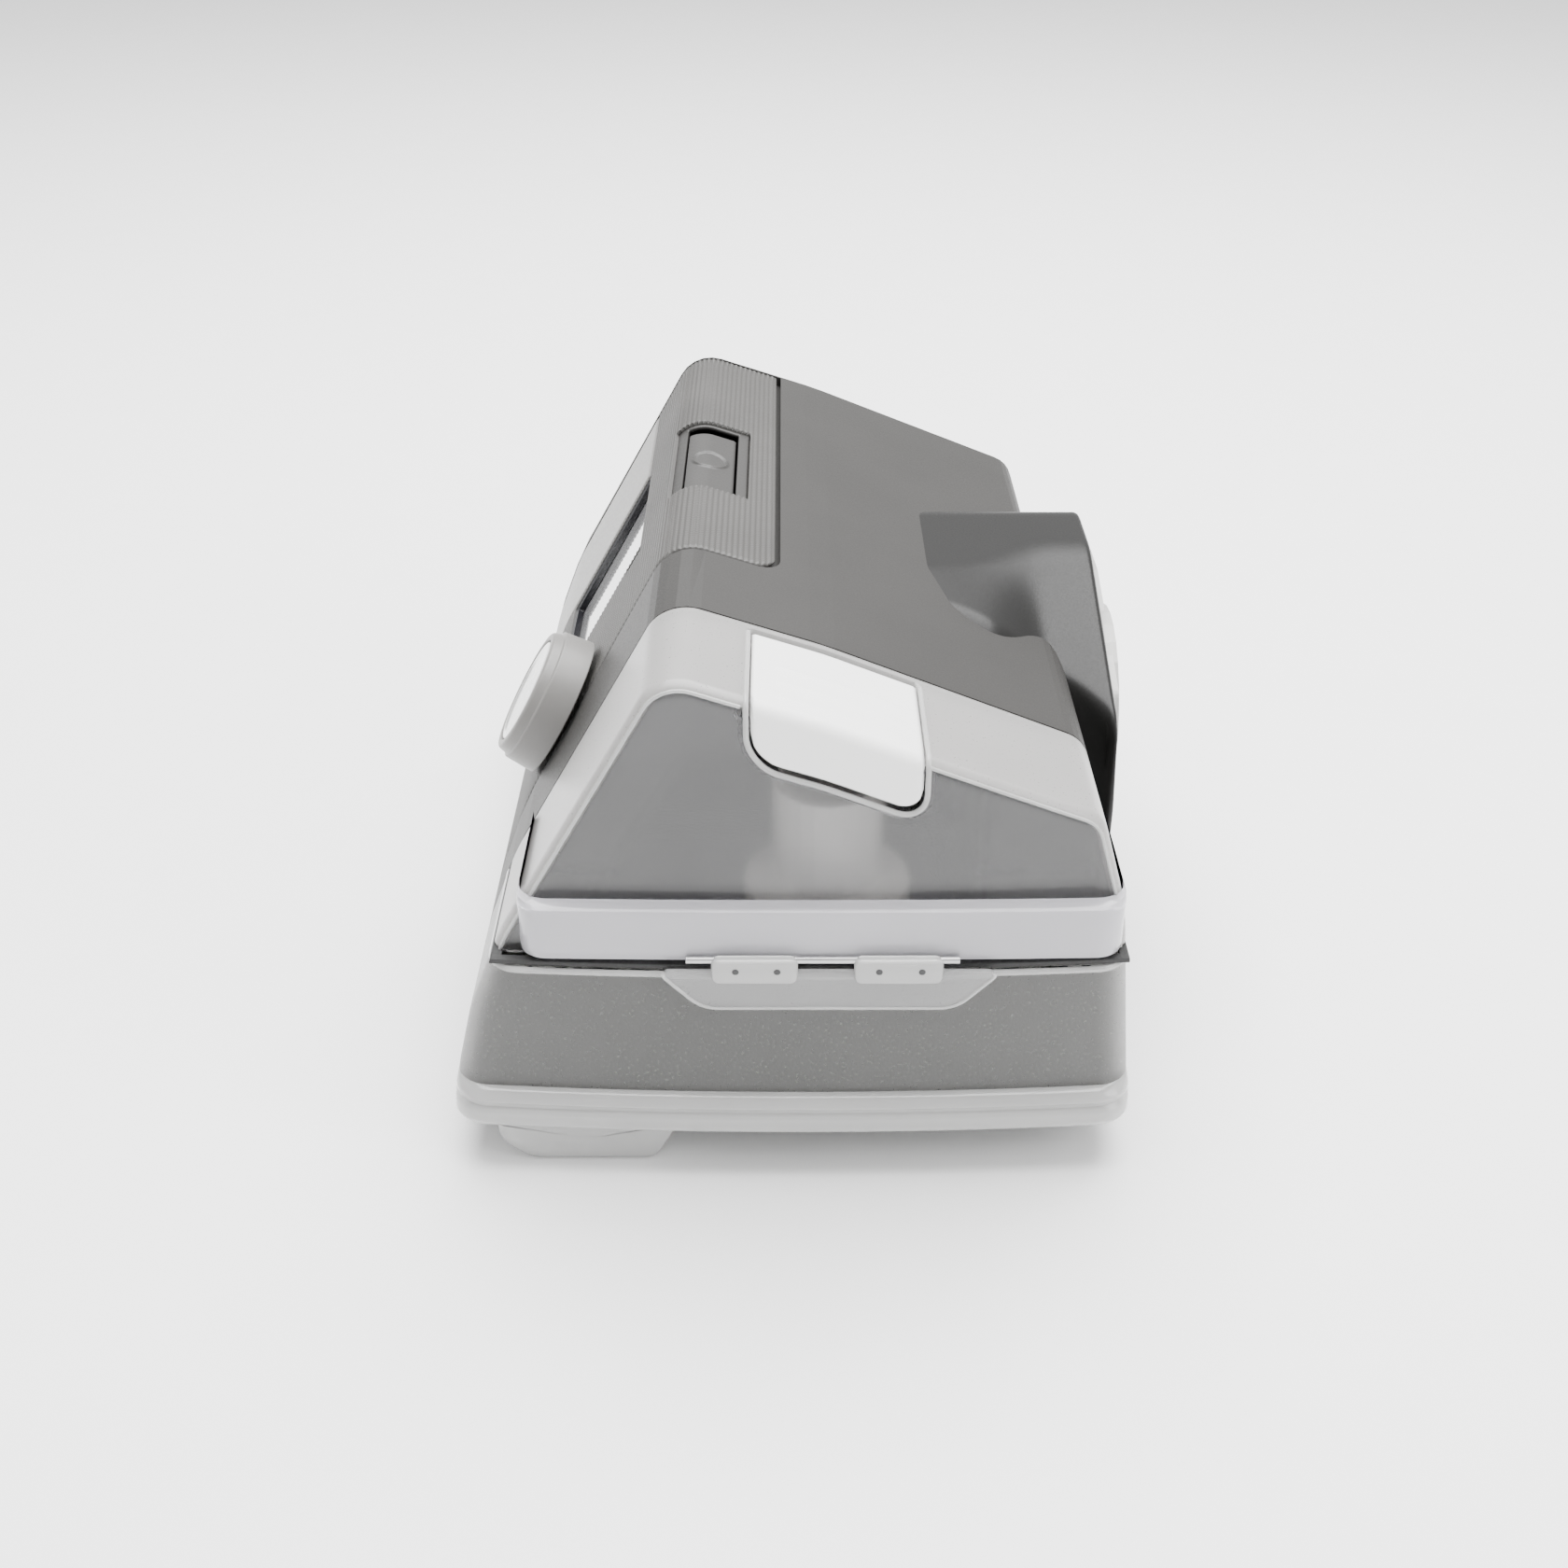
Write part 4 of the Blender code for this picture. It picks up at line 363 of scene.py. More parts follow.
def fascia_right(s):
    """Right edge of the fascia: slanted down the front, square on top, and rounded at its rear corner."""
    y = body_track.at(s)[..., 0]
    slant = FASCIA_TOP_RIGHT + (FASCIA_LOW_RIGHT - FASCIA_TOP_RIGHT) * np.clip((-27.5 - y) / 47.5, 0.0, 1.0)
    left_over = np.clip(6.0 - (FASCIA_S1 - s), 0.0, 6.0)
    return slant - 6.0 + np.sqrt(36.0 - left_over ** 2)


rib_steps = np.arange(FASCIA_S0, FASCIA_S1, RIB_PITCH / 6)
needed_s = [FASCIA_S0, FASCIA_S1, DIAL_S - 11.7, DIAL_S + 32.3, DIAL_S + 25.5, DIAL_S + 33.1,
            CHANNEL_S0, CHANNEL_S1, PANEL_S1, DIAL_S - 5.0, DIAL_S + 5.0, DIAL_S - 12.6, DIAL_S - 5.4]
rows_s = np.unique(np.round(np.concatenate((rib_steps, needed_s)), 3))
fixed_x = np.unique(np.concatenate((np.linspace(FASCIA_LEFT, 24.0, 34),
                                    (-52.0, -50.0, -48.0, -5.0, -4.1, -1.9, -2.1, 5.1, 19.4, 24.0))))
shares = np.linspace(0.0, 1.0, 8)[1:]
right_edge = fascia_right(rows_s)
stretched = 24.0 + (right_edge[:, None] - 24.0) * shares
columns_x = np.hstack((np.repeat(fixed_x[None], len(rows_s), axis=0), stretched))
edge_fade = np.minimum(np.clip((right_edge[:, None] - columns_x) / 0.8, 0, 1),
                       np.clip((rows_s - FASCIA_S0) / 0.8, 0, 1)[:, None])
edge_fade = np.minimum(edge_fade, np.clip((FASCIA_S1 - rows_s) / 0.8, 0, 1)[:, None])
ribs = -RIB_DEPTH * (0.5 - 0.5 * np.cos(2 * math.pi * (rows_s - FASCIA_S0) / RIB_PITCH)) ** 1.5
fascia_grid = on_body(columns_x, rows_s[:, None], ribs[:, None] * edge_fade - 0.45 * (1 - edge_fade) ** 2)
middle_x = (columns_x[:-1, :-1] + columns_x[:-1, 1:]) / 2
middle_s = np.repeat(((rows_s[:-1] + rows_s[1:]) / 2)[:, None], middle_x.shape[1], axis=1)


def window(x0, x1, s0, s1):
    """The cells of the fascia inside a rectangle."""
    return (middle_x > x0) & (middle_x < x1) & (middle_s > s0) & (middle_s < s1)


fascia_open = (window(-50.0, -5.0, DIAL_S - 11.7, DIAL_S + 32.3)
               | window(-4.1, -1.9, DIAL_S + 25.5, DIAL_S + 33.1)
               | window(-48.0, -5.0, CHANNEL_S0, CHANNEL_S1) | window(19.4, 29.4, DIAL_S - 5.0, DIAL_S + 5.0)
               | window(-2.1, 5.1, DIAL_S - 12.6, DIAL_S - 5.4) | window(-200.0, -52.0, 0.0, PANEL_S1))
fascia = shell(faced_out(surface("fascia_ribbed", fascia_grid, keep=~fascia_open)), 1.7)

rib_grey, tree, shader, place = material("ribbed_warm_grey")
cross = tree.nodes.new("ShaderNodeTexWave")
cross.bands_direction = "X"
cross.inputs["Scale"].default_value = 1000.0 / (0.9 * 6.2832) * 2.0
cross.inputs["Distortion"].default_value = 0.0
tree.links.new(place, cross.inputs["Vector"])
slow = grain(tree, place, 25.0, 2.0)
tree.links.new(two_tone(tree, spread(tree, slow, 0.0, 1.0), (0.040, 0.0385, 0.036), (0.052, 0.050, 0.047)),
               shader.inputs["Base Color"])
tree.links.new(spread(tree, grain(tree, place, 0.4), 0.40, 0.52), shader.inputs["Roughness"])
relief(tree, shader, cross.outputs["Fac"], 0.05, 0.8)
add(fascia, "device", "ribbed_grey", rib_grey, stands_for=["front_fascia"])


# ---- Side panel and button channel
# The panel beside the screen is a smooth light-grey inlay, glued into the fascia. The channel in the top
# edge is a smooth dark floor round the start button, with a deeper scoop at its far end.

panel_s = np.linspace(FASCIA_S0 + 0.2, PANEL_S1 - 0.3, 70)
panel_x = np.linspace(FASCIA_LEFT + 0.2, -52.4, 40)
rim = np.minimum(np.minimum(panel_s[:, None] - panel_s[0], panel_s[-1] - panel_s[:, None]),
                 np.minimum(panel_x[None] - panel_x[0], panel_x[-1] - panel_x[None]))
panel_drop = -0.25 * (1 - np.clip(rim / 0.9, 0, 1)) ** 2
panel = surface("side_panel_inlay", on_body(panel_x[None], panel_s[:, None], panel_drop))
add(shell(faced_out(panel), 1.6), "device", "light_grey",
    moulded("satin_light_grey", (0.17, 0.166, 0.16), 0.38, 0.8, 0.006, 0.03),
    stands_for=["side_panel"])

channel_s = np.unique(np.concatenate((np.linspace(CHANNEL_S0, CHANNEL_S1, 44),
                                      [body_track.find(0, -27.7, 0.0, APEX_S), body_track.find(0, -14.1, APEX_S)])))
channel_x = np.unique(np.concatenate((np.linspace(-48.0, -5.0, 40), (-46.4, -4.99))))
channel_mid_x = np.repeat(((channel_x[:-1] + channel_x[1:]) / 2)[None], len(channel_s) - 1, axis=0)
channel_mid_s = np.repeat(((channel_s[:-1] + channel_s[1:]) / 2)[:, None], len(channel_x) - 1, axis=1)
slot_cells = ((channel_mid_x > -46.4) & (channel_mid_s > body_track.find(0, -27.7, 0.0, APEX_S))
              & (channel_mid_s < body_track.find(0, -14.1, APEX_S)))
channel = surface("button_channel", on_body(channel_x[None], channel_s[:, None], -0.9), keep=~slot_cells)
smooth_dark = moulded("smooth_dark_grey", (0.028, 0.027, 0.0255), 0.42, 0.6, 0.010, 0.04)
add(shell(faced_out(channel), 0.9), "device", "ribbed_grey", smooth_dark)


# ---- Start and stop button
# A long dark key in the channel, sprung, with a raised ring moulded on it as a mark for the finger.

def rectangle(u0, v0, u1, v1, radius, step=8.0):
    """A rectangle with rounded corners."""
    return arcs(((u0, v0, radius), (u1, v0, radius), (u1, v1, radius), (u0, v1, radius)), step)


key_s0 = body_track.find(0, -27.2, 0.0, APEX_S)
key_s1 = body_track.find(0, -14.6, APEX_S)
ring_x, ring_s, ring_r = -24.0, (key_s0 + key_s1) / 2, 4.4


def raised_ring(x, s):
    """A ring 0.45 high: a bell over the distance from the ring's circle."""
    away = np.hypot((x - ring_x) * 0.95, s - ring_s) - ring_r
    return 0.45 * np.exp(-(away / 0.38) ** 2)


key_x = np.concatenate((np.linspace(-41.9, -29.8, 16)[:-1], np.linspace(-29.8, -18.2, 70)[:-1],
                        np.linspace(-18.2, -5.4, 16)))
key_s = np.linspace(key_s0, key_s1, 66)
key_rim = np.minimum(np.minimum(key_s[:, None] - key_s[0], key_s[-1] - key_s[:, None]),
                     np.minimum(key_x[None] - key_x[0], key_x[-1] - key_x[None]))
key_top = raised_ring(key_x[None], key_s[:, None]) - 0.85 - 0.5 * (1 - np.clip(key_rim / 0.8, 0, 1)) ** 2
key = surface("start_key", on_body(key_x[None], key_s[:, None], key_top))
add(shell(faced_out(key), 3.2), "start_stop_button", "dark_housing", smooth_dark,
    stands_for=["start_stop_button"])


# ---- Screen, light sensor and home button
# A glossy black-framed glass behind the fascia, a small smoked sensor window above it, and a round
# light-grey key with a thin collar below.

FRONT_RISE = np.array((34.5, 61.0)) / math.hypot(34.5, 61.0)
FRONT_OUT = np.array((-FRONT_RISE[1], FRONT_RISE[0]))
FRONT_AT = np.array((-53.234, 72.5))


def on_front(x, up, out):
    """Place (x, distance up the front face from the dial's middle, distance out of it) in space."""
    x, up, out = np.broadcast_arrays(x, up, out)
    flat = FRONT_AT + up[..., None] * FRONT_RISE + out[..., None] * FRONT_OUT
    return np.stack((x, flat[..., 0], flat[..., 1]), axis=-1)


def swept_ring(name, outline, section, to_space):
    """A closed section (inset, height) carried round a closed outline, along its normals."""
    track = Track(outline, closed=True)
    s = np.linspace(0.0, track.length, max(80, int(track.length / 0.6)), endpoint=False)
    line = track.at(s)
    along = np.roll(line, -1, axis=0) - np.roll(line, 1, axis=0)
    area = np.sum(line[:, 0] * np.roll(line[:, 1], -1) - np.roll(line[:, 0], -1) * line[:, 1])
    inward = np.stack((-along[:, 1], along[:, 0]), axis=-1) / np.linalg.norm(along, axis=1, keepdims=True)
    inward = inward if area > 0 else -inward
    section = np.array(section, float)
    flat = line[:, None] + inward[:, None] * section[None, :, :1]
    height = np.repeat(section[None, :, 1], len(line), axis=0)
    grid = to_space(flat[..., 0], flat[..., 1], height)
    closed = np.concatenate((grid, grid[:, :1]), axis=1)
    rows, columns = closed.shape[:2]
    index = np.arange(rows * (columns - 1)).reshape(rows, columns - 1)
    nxt = np.roll(index, -1, axis=1)
    cells = np.stack((index, nxt, np.roll(nxt, -1, axis=0), np.roll(index, -1, axis=0)), axis=-1).reshape(-1, 4)
    piece = mesh_piece(name, grid.reshape(-1, 3), cells.tolist())
    co = grid.reshape(-1, 3)
    a, b, c, d = (co[cells[:, k]] for k in range(4))
    if (np.einsum("ij,ij->i", a, np.cross(b, c)) + np.einsum("ij,ij->i", a, np.cross(c, d))).sum() < 0:
        piece.data.flip_normals()
    return piece


black_gloss = moulded("gloss_black", (0.012, 0.012, 0.014), 0.16, 1.2, 0.002, 0.03)
add(swept_ring("screen_frame", rectangle(-49.9, -11.6, -5.1, 32.2, 1.2),
               ((0.0, -0.3), (0.9, -0.7), (0.9, -2.1), (0.0, -2.1)), on_front),
    "device", "black_plastic", black_gloss)
glass, tree, shader, place = material("cover_glass")
drift = spread(tree, grain(tree, place, 18.0, 2.0), 0.0, 1.0)
tree.links.new(two_tone(tree, drift, (0.30, 0.30, 0.30), (0.35, 0.35, 0.36)), shader.inputs["Base Color"])
tree.links.new(spread(tree, grain(tree, place, 2.0), 0.04, 0.10), shader.inputs["Roughness"])
shader.inputs["Coat Weight"].default_value = 1.0
shader.inputs["Coat Roughness"].default_value = 0.03
paint(nodes["screen_lens"], glass)
paint(nodes["light_sensor"], black_gloss)
paint(nodes["lcd_module"], black_gloss)
HOME_X, HOME_UP, HOME_RING = 1.5, -9.0, 5.3
home_line = rectangle(HOME_X - HOME_RING, HOME_UP - HOME_RING, HOME_X + HOME_RING, HOME_UP + HOME_RING,
                      HOME_RING, 6.0)
add(swept_ring("home_collar", home_line,
               ((0.0, -0.3), (0.0, 0.05), (0.5, 0.25), (1.5, 0.2), (1.75, 0.0), (1.75, -1.2), (0.0, -1.2)), on_front),
    "device", "ribbed_grey", smooth_dark)
light_grey = moulded("satin_warm_grey", (0.17, 0.165, 0.158), 0.40, 0.6, 0.010, 0.04)
softened(paint(nodes["home_button"], light_grey), 0.3, 3)


# ---- Dial
# A turn-and-press knob of satin light-grey plastic, with a dished metallic cap pressed into its face. The
# skirt flares slightly towards the fascia, and a fine step runs round under the face.

def turned(name, section, steps=120):
    """A section (radius, height) turned about the dial's axis: x = r cos t, up = r sin t."""
    section = np.array(section, float)
    angle = np.linspace(0.0, 2 * math.pi, steps, endpoint=False)
    radius, height = section[:, 0][:, None], section[:, 1][:, None]
    grid = on_front(24.4 + radius * np.cos(angle), radius * np.sin(angle), height + 0 * angle)
    piece = surface(name, grid, wrap=True, start=True, end=True)
    return piece


knob_line = arcs(((3.5, 1.4, 0), (13.6, 1.4, 0), (16.55, 1.25, 0.3), (16.25, 4.6, 3.0), (15.9, 8.3, 0.4),
                  (15.2, 8.5, 0.3), (15.0, 9.3, 0.4), (14.6, 10.75, 0.9), (12.8, 10.8, 0.3), (12.6, 9.3, 0.2), (3.5, 9.2, 0)),
                 8.0, closed=False)
knob = turned("dial_knob_skirt", knob_line)
add(knob, "dial", "light_grey", light_grey, stands_for=["dial_knob"])
cap_line = arcs(((0.4, 9.35, 0), (12.3, 9.35, 0.2), (12.35, 10.55, 0.4), (11.2, 10.8, 0.5), (10.4, 10.35, 1.0),
                 (5.5, 9.8, 6.0), (0.4, 9.72, 0)), 8.0, closed=False)
cap = turned("dial_cap_dished", cap_line)
brushed = moulded("brushed_silver", (0.80, 0.80, 0.79), 0.24, 0.6, 0.004, 0.03, 0.85)
add(cap, "dial", "steel", brushed, stands_for=["dial_cap"])


# ---- Horn of the air outlet
# A satin dark moulding that grows out of the rear of the housing and ends round the hose connector. It is
# snapped into the housing from behind, and its rear edge is rounded.

HORN_STATIONS = np.array(((22.0, 0.0, 12.0, 95.0, 16.0, 80.0), (43.5, -4.0, 23.5, 93.0, 30.0, 78.0),
                          (58.5, -12.0, 22.0, 83.5, 40.0, 66.0), (71.6, -14.0, 42.0, 78.5, 46.5, 58.0)))


def eased(places, values, at):
    """Values at new places along cubics whose slopes at the given places are those of np.gradient."""
    slopes = np.gradient(values, places)
    k = np.clip(np.searchsorted(places, at) - 1, 0, len(places) - 2)
    wide = places[k + 1] - places[k]
    t = (at - places[k]) / wide
    rise = (2 * t ** 3 - 3 * t ** 2 + 1) * values[k] + (3 * t ** 2 - 2 * t ** 3) * values[k + 1]
    return rise + wide * ((t ** 3 - 2 * t ** 2 + t) * slopes[k] + (t ** 3 - t ** 2) * slopes[k + 1])


def horn_line(y, inset, count=180):
    """The horn's section at a distance back: six corners, each rounded, moved inwards by inset."""
    level, shoulder_x, shoulder_z, side_x, side_z = (
        float(eased(HORN_STATIONS[:, 0], HORN_STATIONS[:, k], np.array(y))) for k in range(1, 6))
    line = arcs(((-44.0, 34.0, 18.0), (-44.0, 97.0, 12.0), (level, 97.0, 30.0), (shoulder_x, shoulder_z, 9.0),
                 (side_x, side_z, 20.0), (side_x - 1.0, 34.0, 22.0)), 3.0)
    track = Track(line, closed=True)
    s = np.linspace(0.0, track.length, count, endpoint=False)
    return track.at(s) - track.normal(s) * inset


horn_rows = [(y, 0.0) for y in np.linspace(22.3, 69.9, 48)]
horn_rows += [(69.9 + 1.6 * math.sin(a), 1.6 * (1 - math.cos(a))) for a in np.linspace(0.2, math.pi / 2, 7)]
horn_grid = np.stack([np.insert(horn_line(min(y, 71.6), inset), 1, y, axis=1) for y, inset in horn_rows])
horn = shell(faced_out(surface("outlet_horn", horn_grid, wrap=True), (0.0, 45.0, 65.0)), 2.4)
satin_dark = moulded("satin_dark_grey", (0.008, 0.0078, 0.0075), 0.36, 0.5, 0.012, 0.04)
add(horn, "device", "dark_housing", satin_dark, stands_for=["outlet_housing"])


# ---- Materials of the pieces whose CAD shape is kept
# Clear and frosted polycarbonate for the tub, white rubber-like pad, black rubber, sheet steel, boards.

lid_clear = clear_moulded("frosted_lid", (0.74, 0.735, 0.75), 0.18, 0.97, 0.5, 0.012, 0.02)
lid_milky = clear_moulded("milky_lid", (0.55, 0.54, 0.53), 0.32, 0.55, 0.5, 0.012, 0.02)
base_clear = clear_moulded("frosted_base", (0.30, 0.297, 0.29), 0.32, 0.82, 0.6, 0.02, 0.03)
rim_clear = clear_moulded("clear_rim", (0.85, 0.85, 0.84), 0.08, 0.60, 0.5, 0.006, 0.01)
flange_clear = clear_moulded("clear_flange", (0.80, 0.79, 0.83), 0.12, 0.60, 0.5, 0.008, 0.01)
lip_clear = clear_moulded("clear_lip", (0.75, 0.75, 0.75), 0.15, 0.80, 0.5, 0.006, 0.01)
soft_clear = clear_moulded("milky_connector", (0.62, 0.615, 0.60), 0.38, 0.35, 0.5, 0.01)
pad_white = moulded("soft_white", (0.90, 0.90, 0.89), 0.42, 0.5, 0.01, 0.01)
rubber = moulded("black_rubber", (0.020, 0.020, 0.020), 0.70, 0.5, 0.03, 0.08)
board_green = moulded("board_green", (0.020, 0.085, 0.040), 0.38, 1.4, 0.02, 0.15)
sheet_steel = moulded("sheet_steel", (0.55, 0.55, 0.55), 0.30, 0.5, 0.006, 0.05, 1.0, (1.0, 0.06, 1.0))
copper = moulded("enamelled_copper", (0.62, 0.26, 0.12), 0.32, 0.4, 0.05, 0.10, 0.9, (1.0, 1.0, 6.0))
foam = moulded("open_cell_foam", (0.050, 0.050, 0.052), 0.95, 1.1, 0.50, 0.25)
fleece = moulded("filter_fleece", (0.84, 0.84, 0.82), 0.92, 0.9, 0.25, 0.06)
black_plastic = moulded("matt_black_plastic", (0.030, 0.030, 0.031), 0.50, 0.45, 0.02, 0.06)
impeller_white = moulded("nylon_white", (0.80, 0.79, 0.74), 0.34, 0.7, 0.01, 0.04)

kept = (
    (soft_clear, 0.4, ("outlet_connector",)),
    (rubber, 0.3, ("tub_seal", "port_seal", "foot_1", "foot_2", "foot_3", "foot_4", "blower_mount_1",
                   "blower_mount_2", "blower_mount_3", "blower_duct", "outlet_duct")),
    (board_green, 0.1, ("control_board", "power_board", "sd_card")),
    (sheet_steel, 0.2, ("heater_plate", "tub_heat_plate", "screw_1", "screw_2", "screw_3", "screw_4",
                        "lid_hinge_pin", "dial_shaft", "rotor_shaft", "bearing_lower", "bearing_upper",
                        "rotor_magnet", "sd_socket")),
    (copper, 0.1, ("motor_stator", "heater_foil")),
    (foam, 0.3, ("muffler_foam",)),
    (fleece, 0.2, ("inlet_filter",)),
    (black_plastic, 0.3, ("power_jack", "encoder_body", "motor_housing", "volute_lower", "volute_upper",
                          "outlet_plenum", "dock_liner")),
    (impeller_white, 0.1, ("impeller", "tub_baffle")),
    (dark_skin, 0.3, ("filter_cover", "sd_door", "retention_clip", "adapter_cover")),
)
for finish, shine in ((satin_dark, 0.22), (lid_clear, 0.25), (base_clear, 0.25), (dark_skin, 0.35)):
    finish.node_tree.nodes["Principled BSDF"].inputs["Specular IOR Level"].default_value = shine
for finish, width, names in kept:
    for name in names:
        if name in nodes:
            softened(paint(nodes[name], finish), width, 2)


# ---- Water tub, lower half
# A clear polycarbonate tray with a frosted end panel, a stepped rim round its foot and one wide foot. Its
# inner part slides into the dock and carries the heat plate in its floor.

front_line = body_track.at(np.linspace(8.0, APEX_S, 500))
rear_line = body_track.at(np.linspace(APEX_S, body_track.length - 8.0, 500))[::-1]
TUB_BACK = 60.5


def plan_path(end, low, high, radius, bulge, count=220):
    """The tub in plan: out along the front side, round the bowed end and back along the rear side.

    Corners are rounded first; then x is drawn back by bulge * (y / 95) squared, in proportion to its reach.
    """
    corners = ((TUB_BACK, low, 0), (end, low, radius), (end, high, radius), (TUB_BACK, high, 0))
    line = arcs(corners, 4.0, closed=False)
    flat = Track(line).at(np.linspace(0.0, Track(line).length, count))
    flat[:, 0] -= (flat[:, 0] - TUB_BACK) / (end - TUB_BACK) * bulge * (flat[:, 1] / 95.0) ** 2
    return flat


def side_y(z, out=0.0):
    """The front and rear skin of the body at a height, moved outwards."""
    return (float(np.interp(z, front_line[:, 1], front_line[:, 0])) - out,
            float(np.interp(z, rear_line[:, 1], rear_line[:, 0])) + out)


def plan_tube(name, rows, radius, bulge, sides=None):
    """A closed section of (end, out, z) rows carried round the tub's outline in plan."""
    paths = []
    for end, out, z in rows:
        low, high = sides if sides else side_y(z)
        path = plan_path(end, low - out, high + out, radius, bulge)
        paths.append(np.insert(path, 2, z, axis=1))
    grid = np.swapaxes(np.stack(paths), 0, 1)
    return faced_out(surface(name, grid, wrap=True, start=True, end=True), (80.0, 0.0, 30.0))


wall_rows = []
for z in np.linspace(52.2, 13.0, 30):
    wall_rows.append(np.insert(plan_path(98.5, *side_y(z), 7.0, 5.0), 2, z, axis=1))
for a in np.linspace(0.15, math.pi / 2, 7):
    low, high = side_y(13.0, -1.5 * (1 - math.cos(a)))
    path = plan_path(98.5 - 1.5 * (1 - math.cos(a)), low, high, 7.0, 5.0)
    wall_rows.append(np.insert(path, 2, 13.0 - 1.7 * math.sin(a), axis=1))
for k in np.linspace(1.0, 0.0, 12)[1:]:
    path = wall_rows[36].copy()
    path[:, 0] = TUB_BACK + (path[:, 0] - TUB_BACK) * k
    wall_rows.append(path)
base_wall = shell(faced_out(surface("tub_base_wall", np.stack(wall_rows)), (75.0, 0.0, 40.0)), 2.0)
add(base_wall, "tub", "clear", base_clear, stands_for=["tub_base"])

bottom_rim = plan_tube("tub_bottom_rim", (
    (98.0, -0.3, 20.6), (98.9, 0.0, 20.6), (100.0, 0.08, 20.1), (101.3, 0.14, 19.0), (101.5, 0.15, 18.2),
    (101.0, 0.12, 17.4), (101.0, 0.12, 16.8), (101.9, 0.17, 16.0), (102.1, 0.18, 15.0), (102.1, 0.18, 13.0),
    (101.7, 0.16, 12.2), (100.6, 0.1, 11.5), (98.9, 0.0, 11.2), (98.0, -0.3, 11.2)), 8.0, 5.0)
add(bottom_rim, "tub", "clear", rim_clear)
top_rim = plan_tube("tub_top_rim", (
    (98.0, -0.4, 52.2), (98.9, 0.1, 52.2), (99.3, 0.18, 51.8), (99.3, 0.18, 51.2), (98.9, 0.1, 50.8),
    (98.0, -0.4, 50.8)), 7.0, 5.0)
add(top_rim, "tub", "clear", rim_clear)


def moulding(name, outline, rings, to_space, inner=6):
    """A closed solid from an outline in a plane.

    Ring k is the outline moved inwards by rings[k][0], at height rings[k][1]. The first and last ring then
    shrink towards the outline's middle in even steps.
    """
    track = Track(outline, closed=True)
    count = max(60, int(track.length / 0.8))
    s = np.linspace(0.0, track.length, count, endpoint=False)
    line = track.at(s)
    normal = np.roll(line, -1, axis=0) - np.roll(line, 1, axis=0)
    normal = np.stack((normal[:, 1], -normal[:, 0]), axis=-1) / np.linalg.norm(normal, axis=1, keepdims=True)
    area = np.sum(line[:, 0] * np.roll(line[:, 1], -1) - np.roll(line[:, 0], -1) * line[:, 1])
    normal = normal if area > 0 else -normal
    middle = line.mean(axis=0)
    flat = [line - normal * inset for inset, _ in rings]
    height = [np.full(count, h) for _, h in rings]
    shrink = np.linspace(1.0, 0.02, inner + 1)[1:]
    first = [middle + (flat[0] - middle) * k for k in shrink[::-1]]
    last = [middle + (flat[-1] - middle) * k for k in shrink]
    plane = np.stack(first + flat + last)
    heights = np.stack([np.full(count, rings[0][1])] * inner + height + [np.full(count, rings[-1][1])] * inner)
    grid = to_space(plane[..., 0], plane[..., 1], heights)
    return faced_out(surface(name, grid, wrap=True, start=True, end=True))


def along_x(u, v, height):
    """Plane (y, z), height along x."""
    u, v, height = np.broadcast_arrays(u, v, height)
    return np.stack((height, u, v), axis=-1)


foot_line = arcs(((-65.4, 11.0, 0.6), (-64.6, 5.0, 6.0), (-58.5, 0.1, 7.0), (-31.0, 0.1, 4.0),
                  (-27.5, 6.5, 3.0), (-25.6, 11.0, 0.6)), 5.0)
foot = moulding("tub_foot", foot_line, ((1.0, 68.4), (0.3, 68.7), (0.0, 69.4), (0.0, 95.6), (0.4, 96.5),
                                        (1.2, 96.9)), along_x)
add(foot, "tub", "clear", rim_clear)


def inner_skin(name, line, pole, hole=None):
    """The part of the tub inside the dock: the line from x 60.5 inwards, rounded, closed by an end wall."""
    track = Track(line)
    flat = track.at(np.linspace(0.0, track.length, 200))
    pole = np.array(pole)
    pull = (pole - flat) / np.linalg.norm(pole - flat, axis=1, keepdims=True)
    x_side = np.unique(np.concatenate((np.linspace(TUB_BACK, -19.0, 60), (-6.3, 46.3))))[::-1]
    rows = [np.insert(flat, 0, x, axis=1) for x in x_side]
    for a in np.linspace(0.2, math.pi / 2, 6):
        rows.append(np.insert(flat + pull * 3.0 * (1 - math.cos(a)), 0, -19.0 - 3.0 * math.sin(a), axis=1))
    edge = rows[-1][:, 1:]
    for k in np.linspace(1.0, 0.01, 40)[1:]:
        rows.append(np.insert(pole + (edge - pole) * k, 0, -22.0, axis=1))
    grid = np.stack(rows)
    keep = None
    if hole is not None:
        middle = (grid[:-1, :-1] + grid[1:, :-1] + grid[:-1, 1:] + grid[1:, 1:]) / 4
        keep = ~hole(middle)
    return shell(faced_out(surface(name, grid, keep=keep), (10.0, pole[0], pole[1])), 2.0)


PLATE_X, PLATE_Y, PLATE_HALF_X, PLATE_HALF_Y = 20.0, -8.0, 26.0, 22.0


def over_plate(middle):
    """Cells of the floor over the heat plate."""
    inside_x = np.abs(middle[..., 0] - PLATE_X) < PLATE_HALF_X + 0.2
    inside_y = np.abs(middle[..., 1] - PLATE_Y) < PLATE_HALF_Y + 0.2
    return inside_x & inside_y & (middle[..., 2] < 12.0)


base_dock_line = arcs(((-43.1, 52.2, 0), (-44.59, 48.79, 12.0), (-59.03, 11.2, 2.5), (40.8, 11.2, 2.5),
                       (40.8, 52.2, 0)), 6.0, closed=False)
add(inner_skin("tub_base_inner", base_dock_line, (-5.0, 52.2), over_plate), "tub", "clear", base_clear)


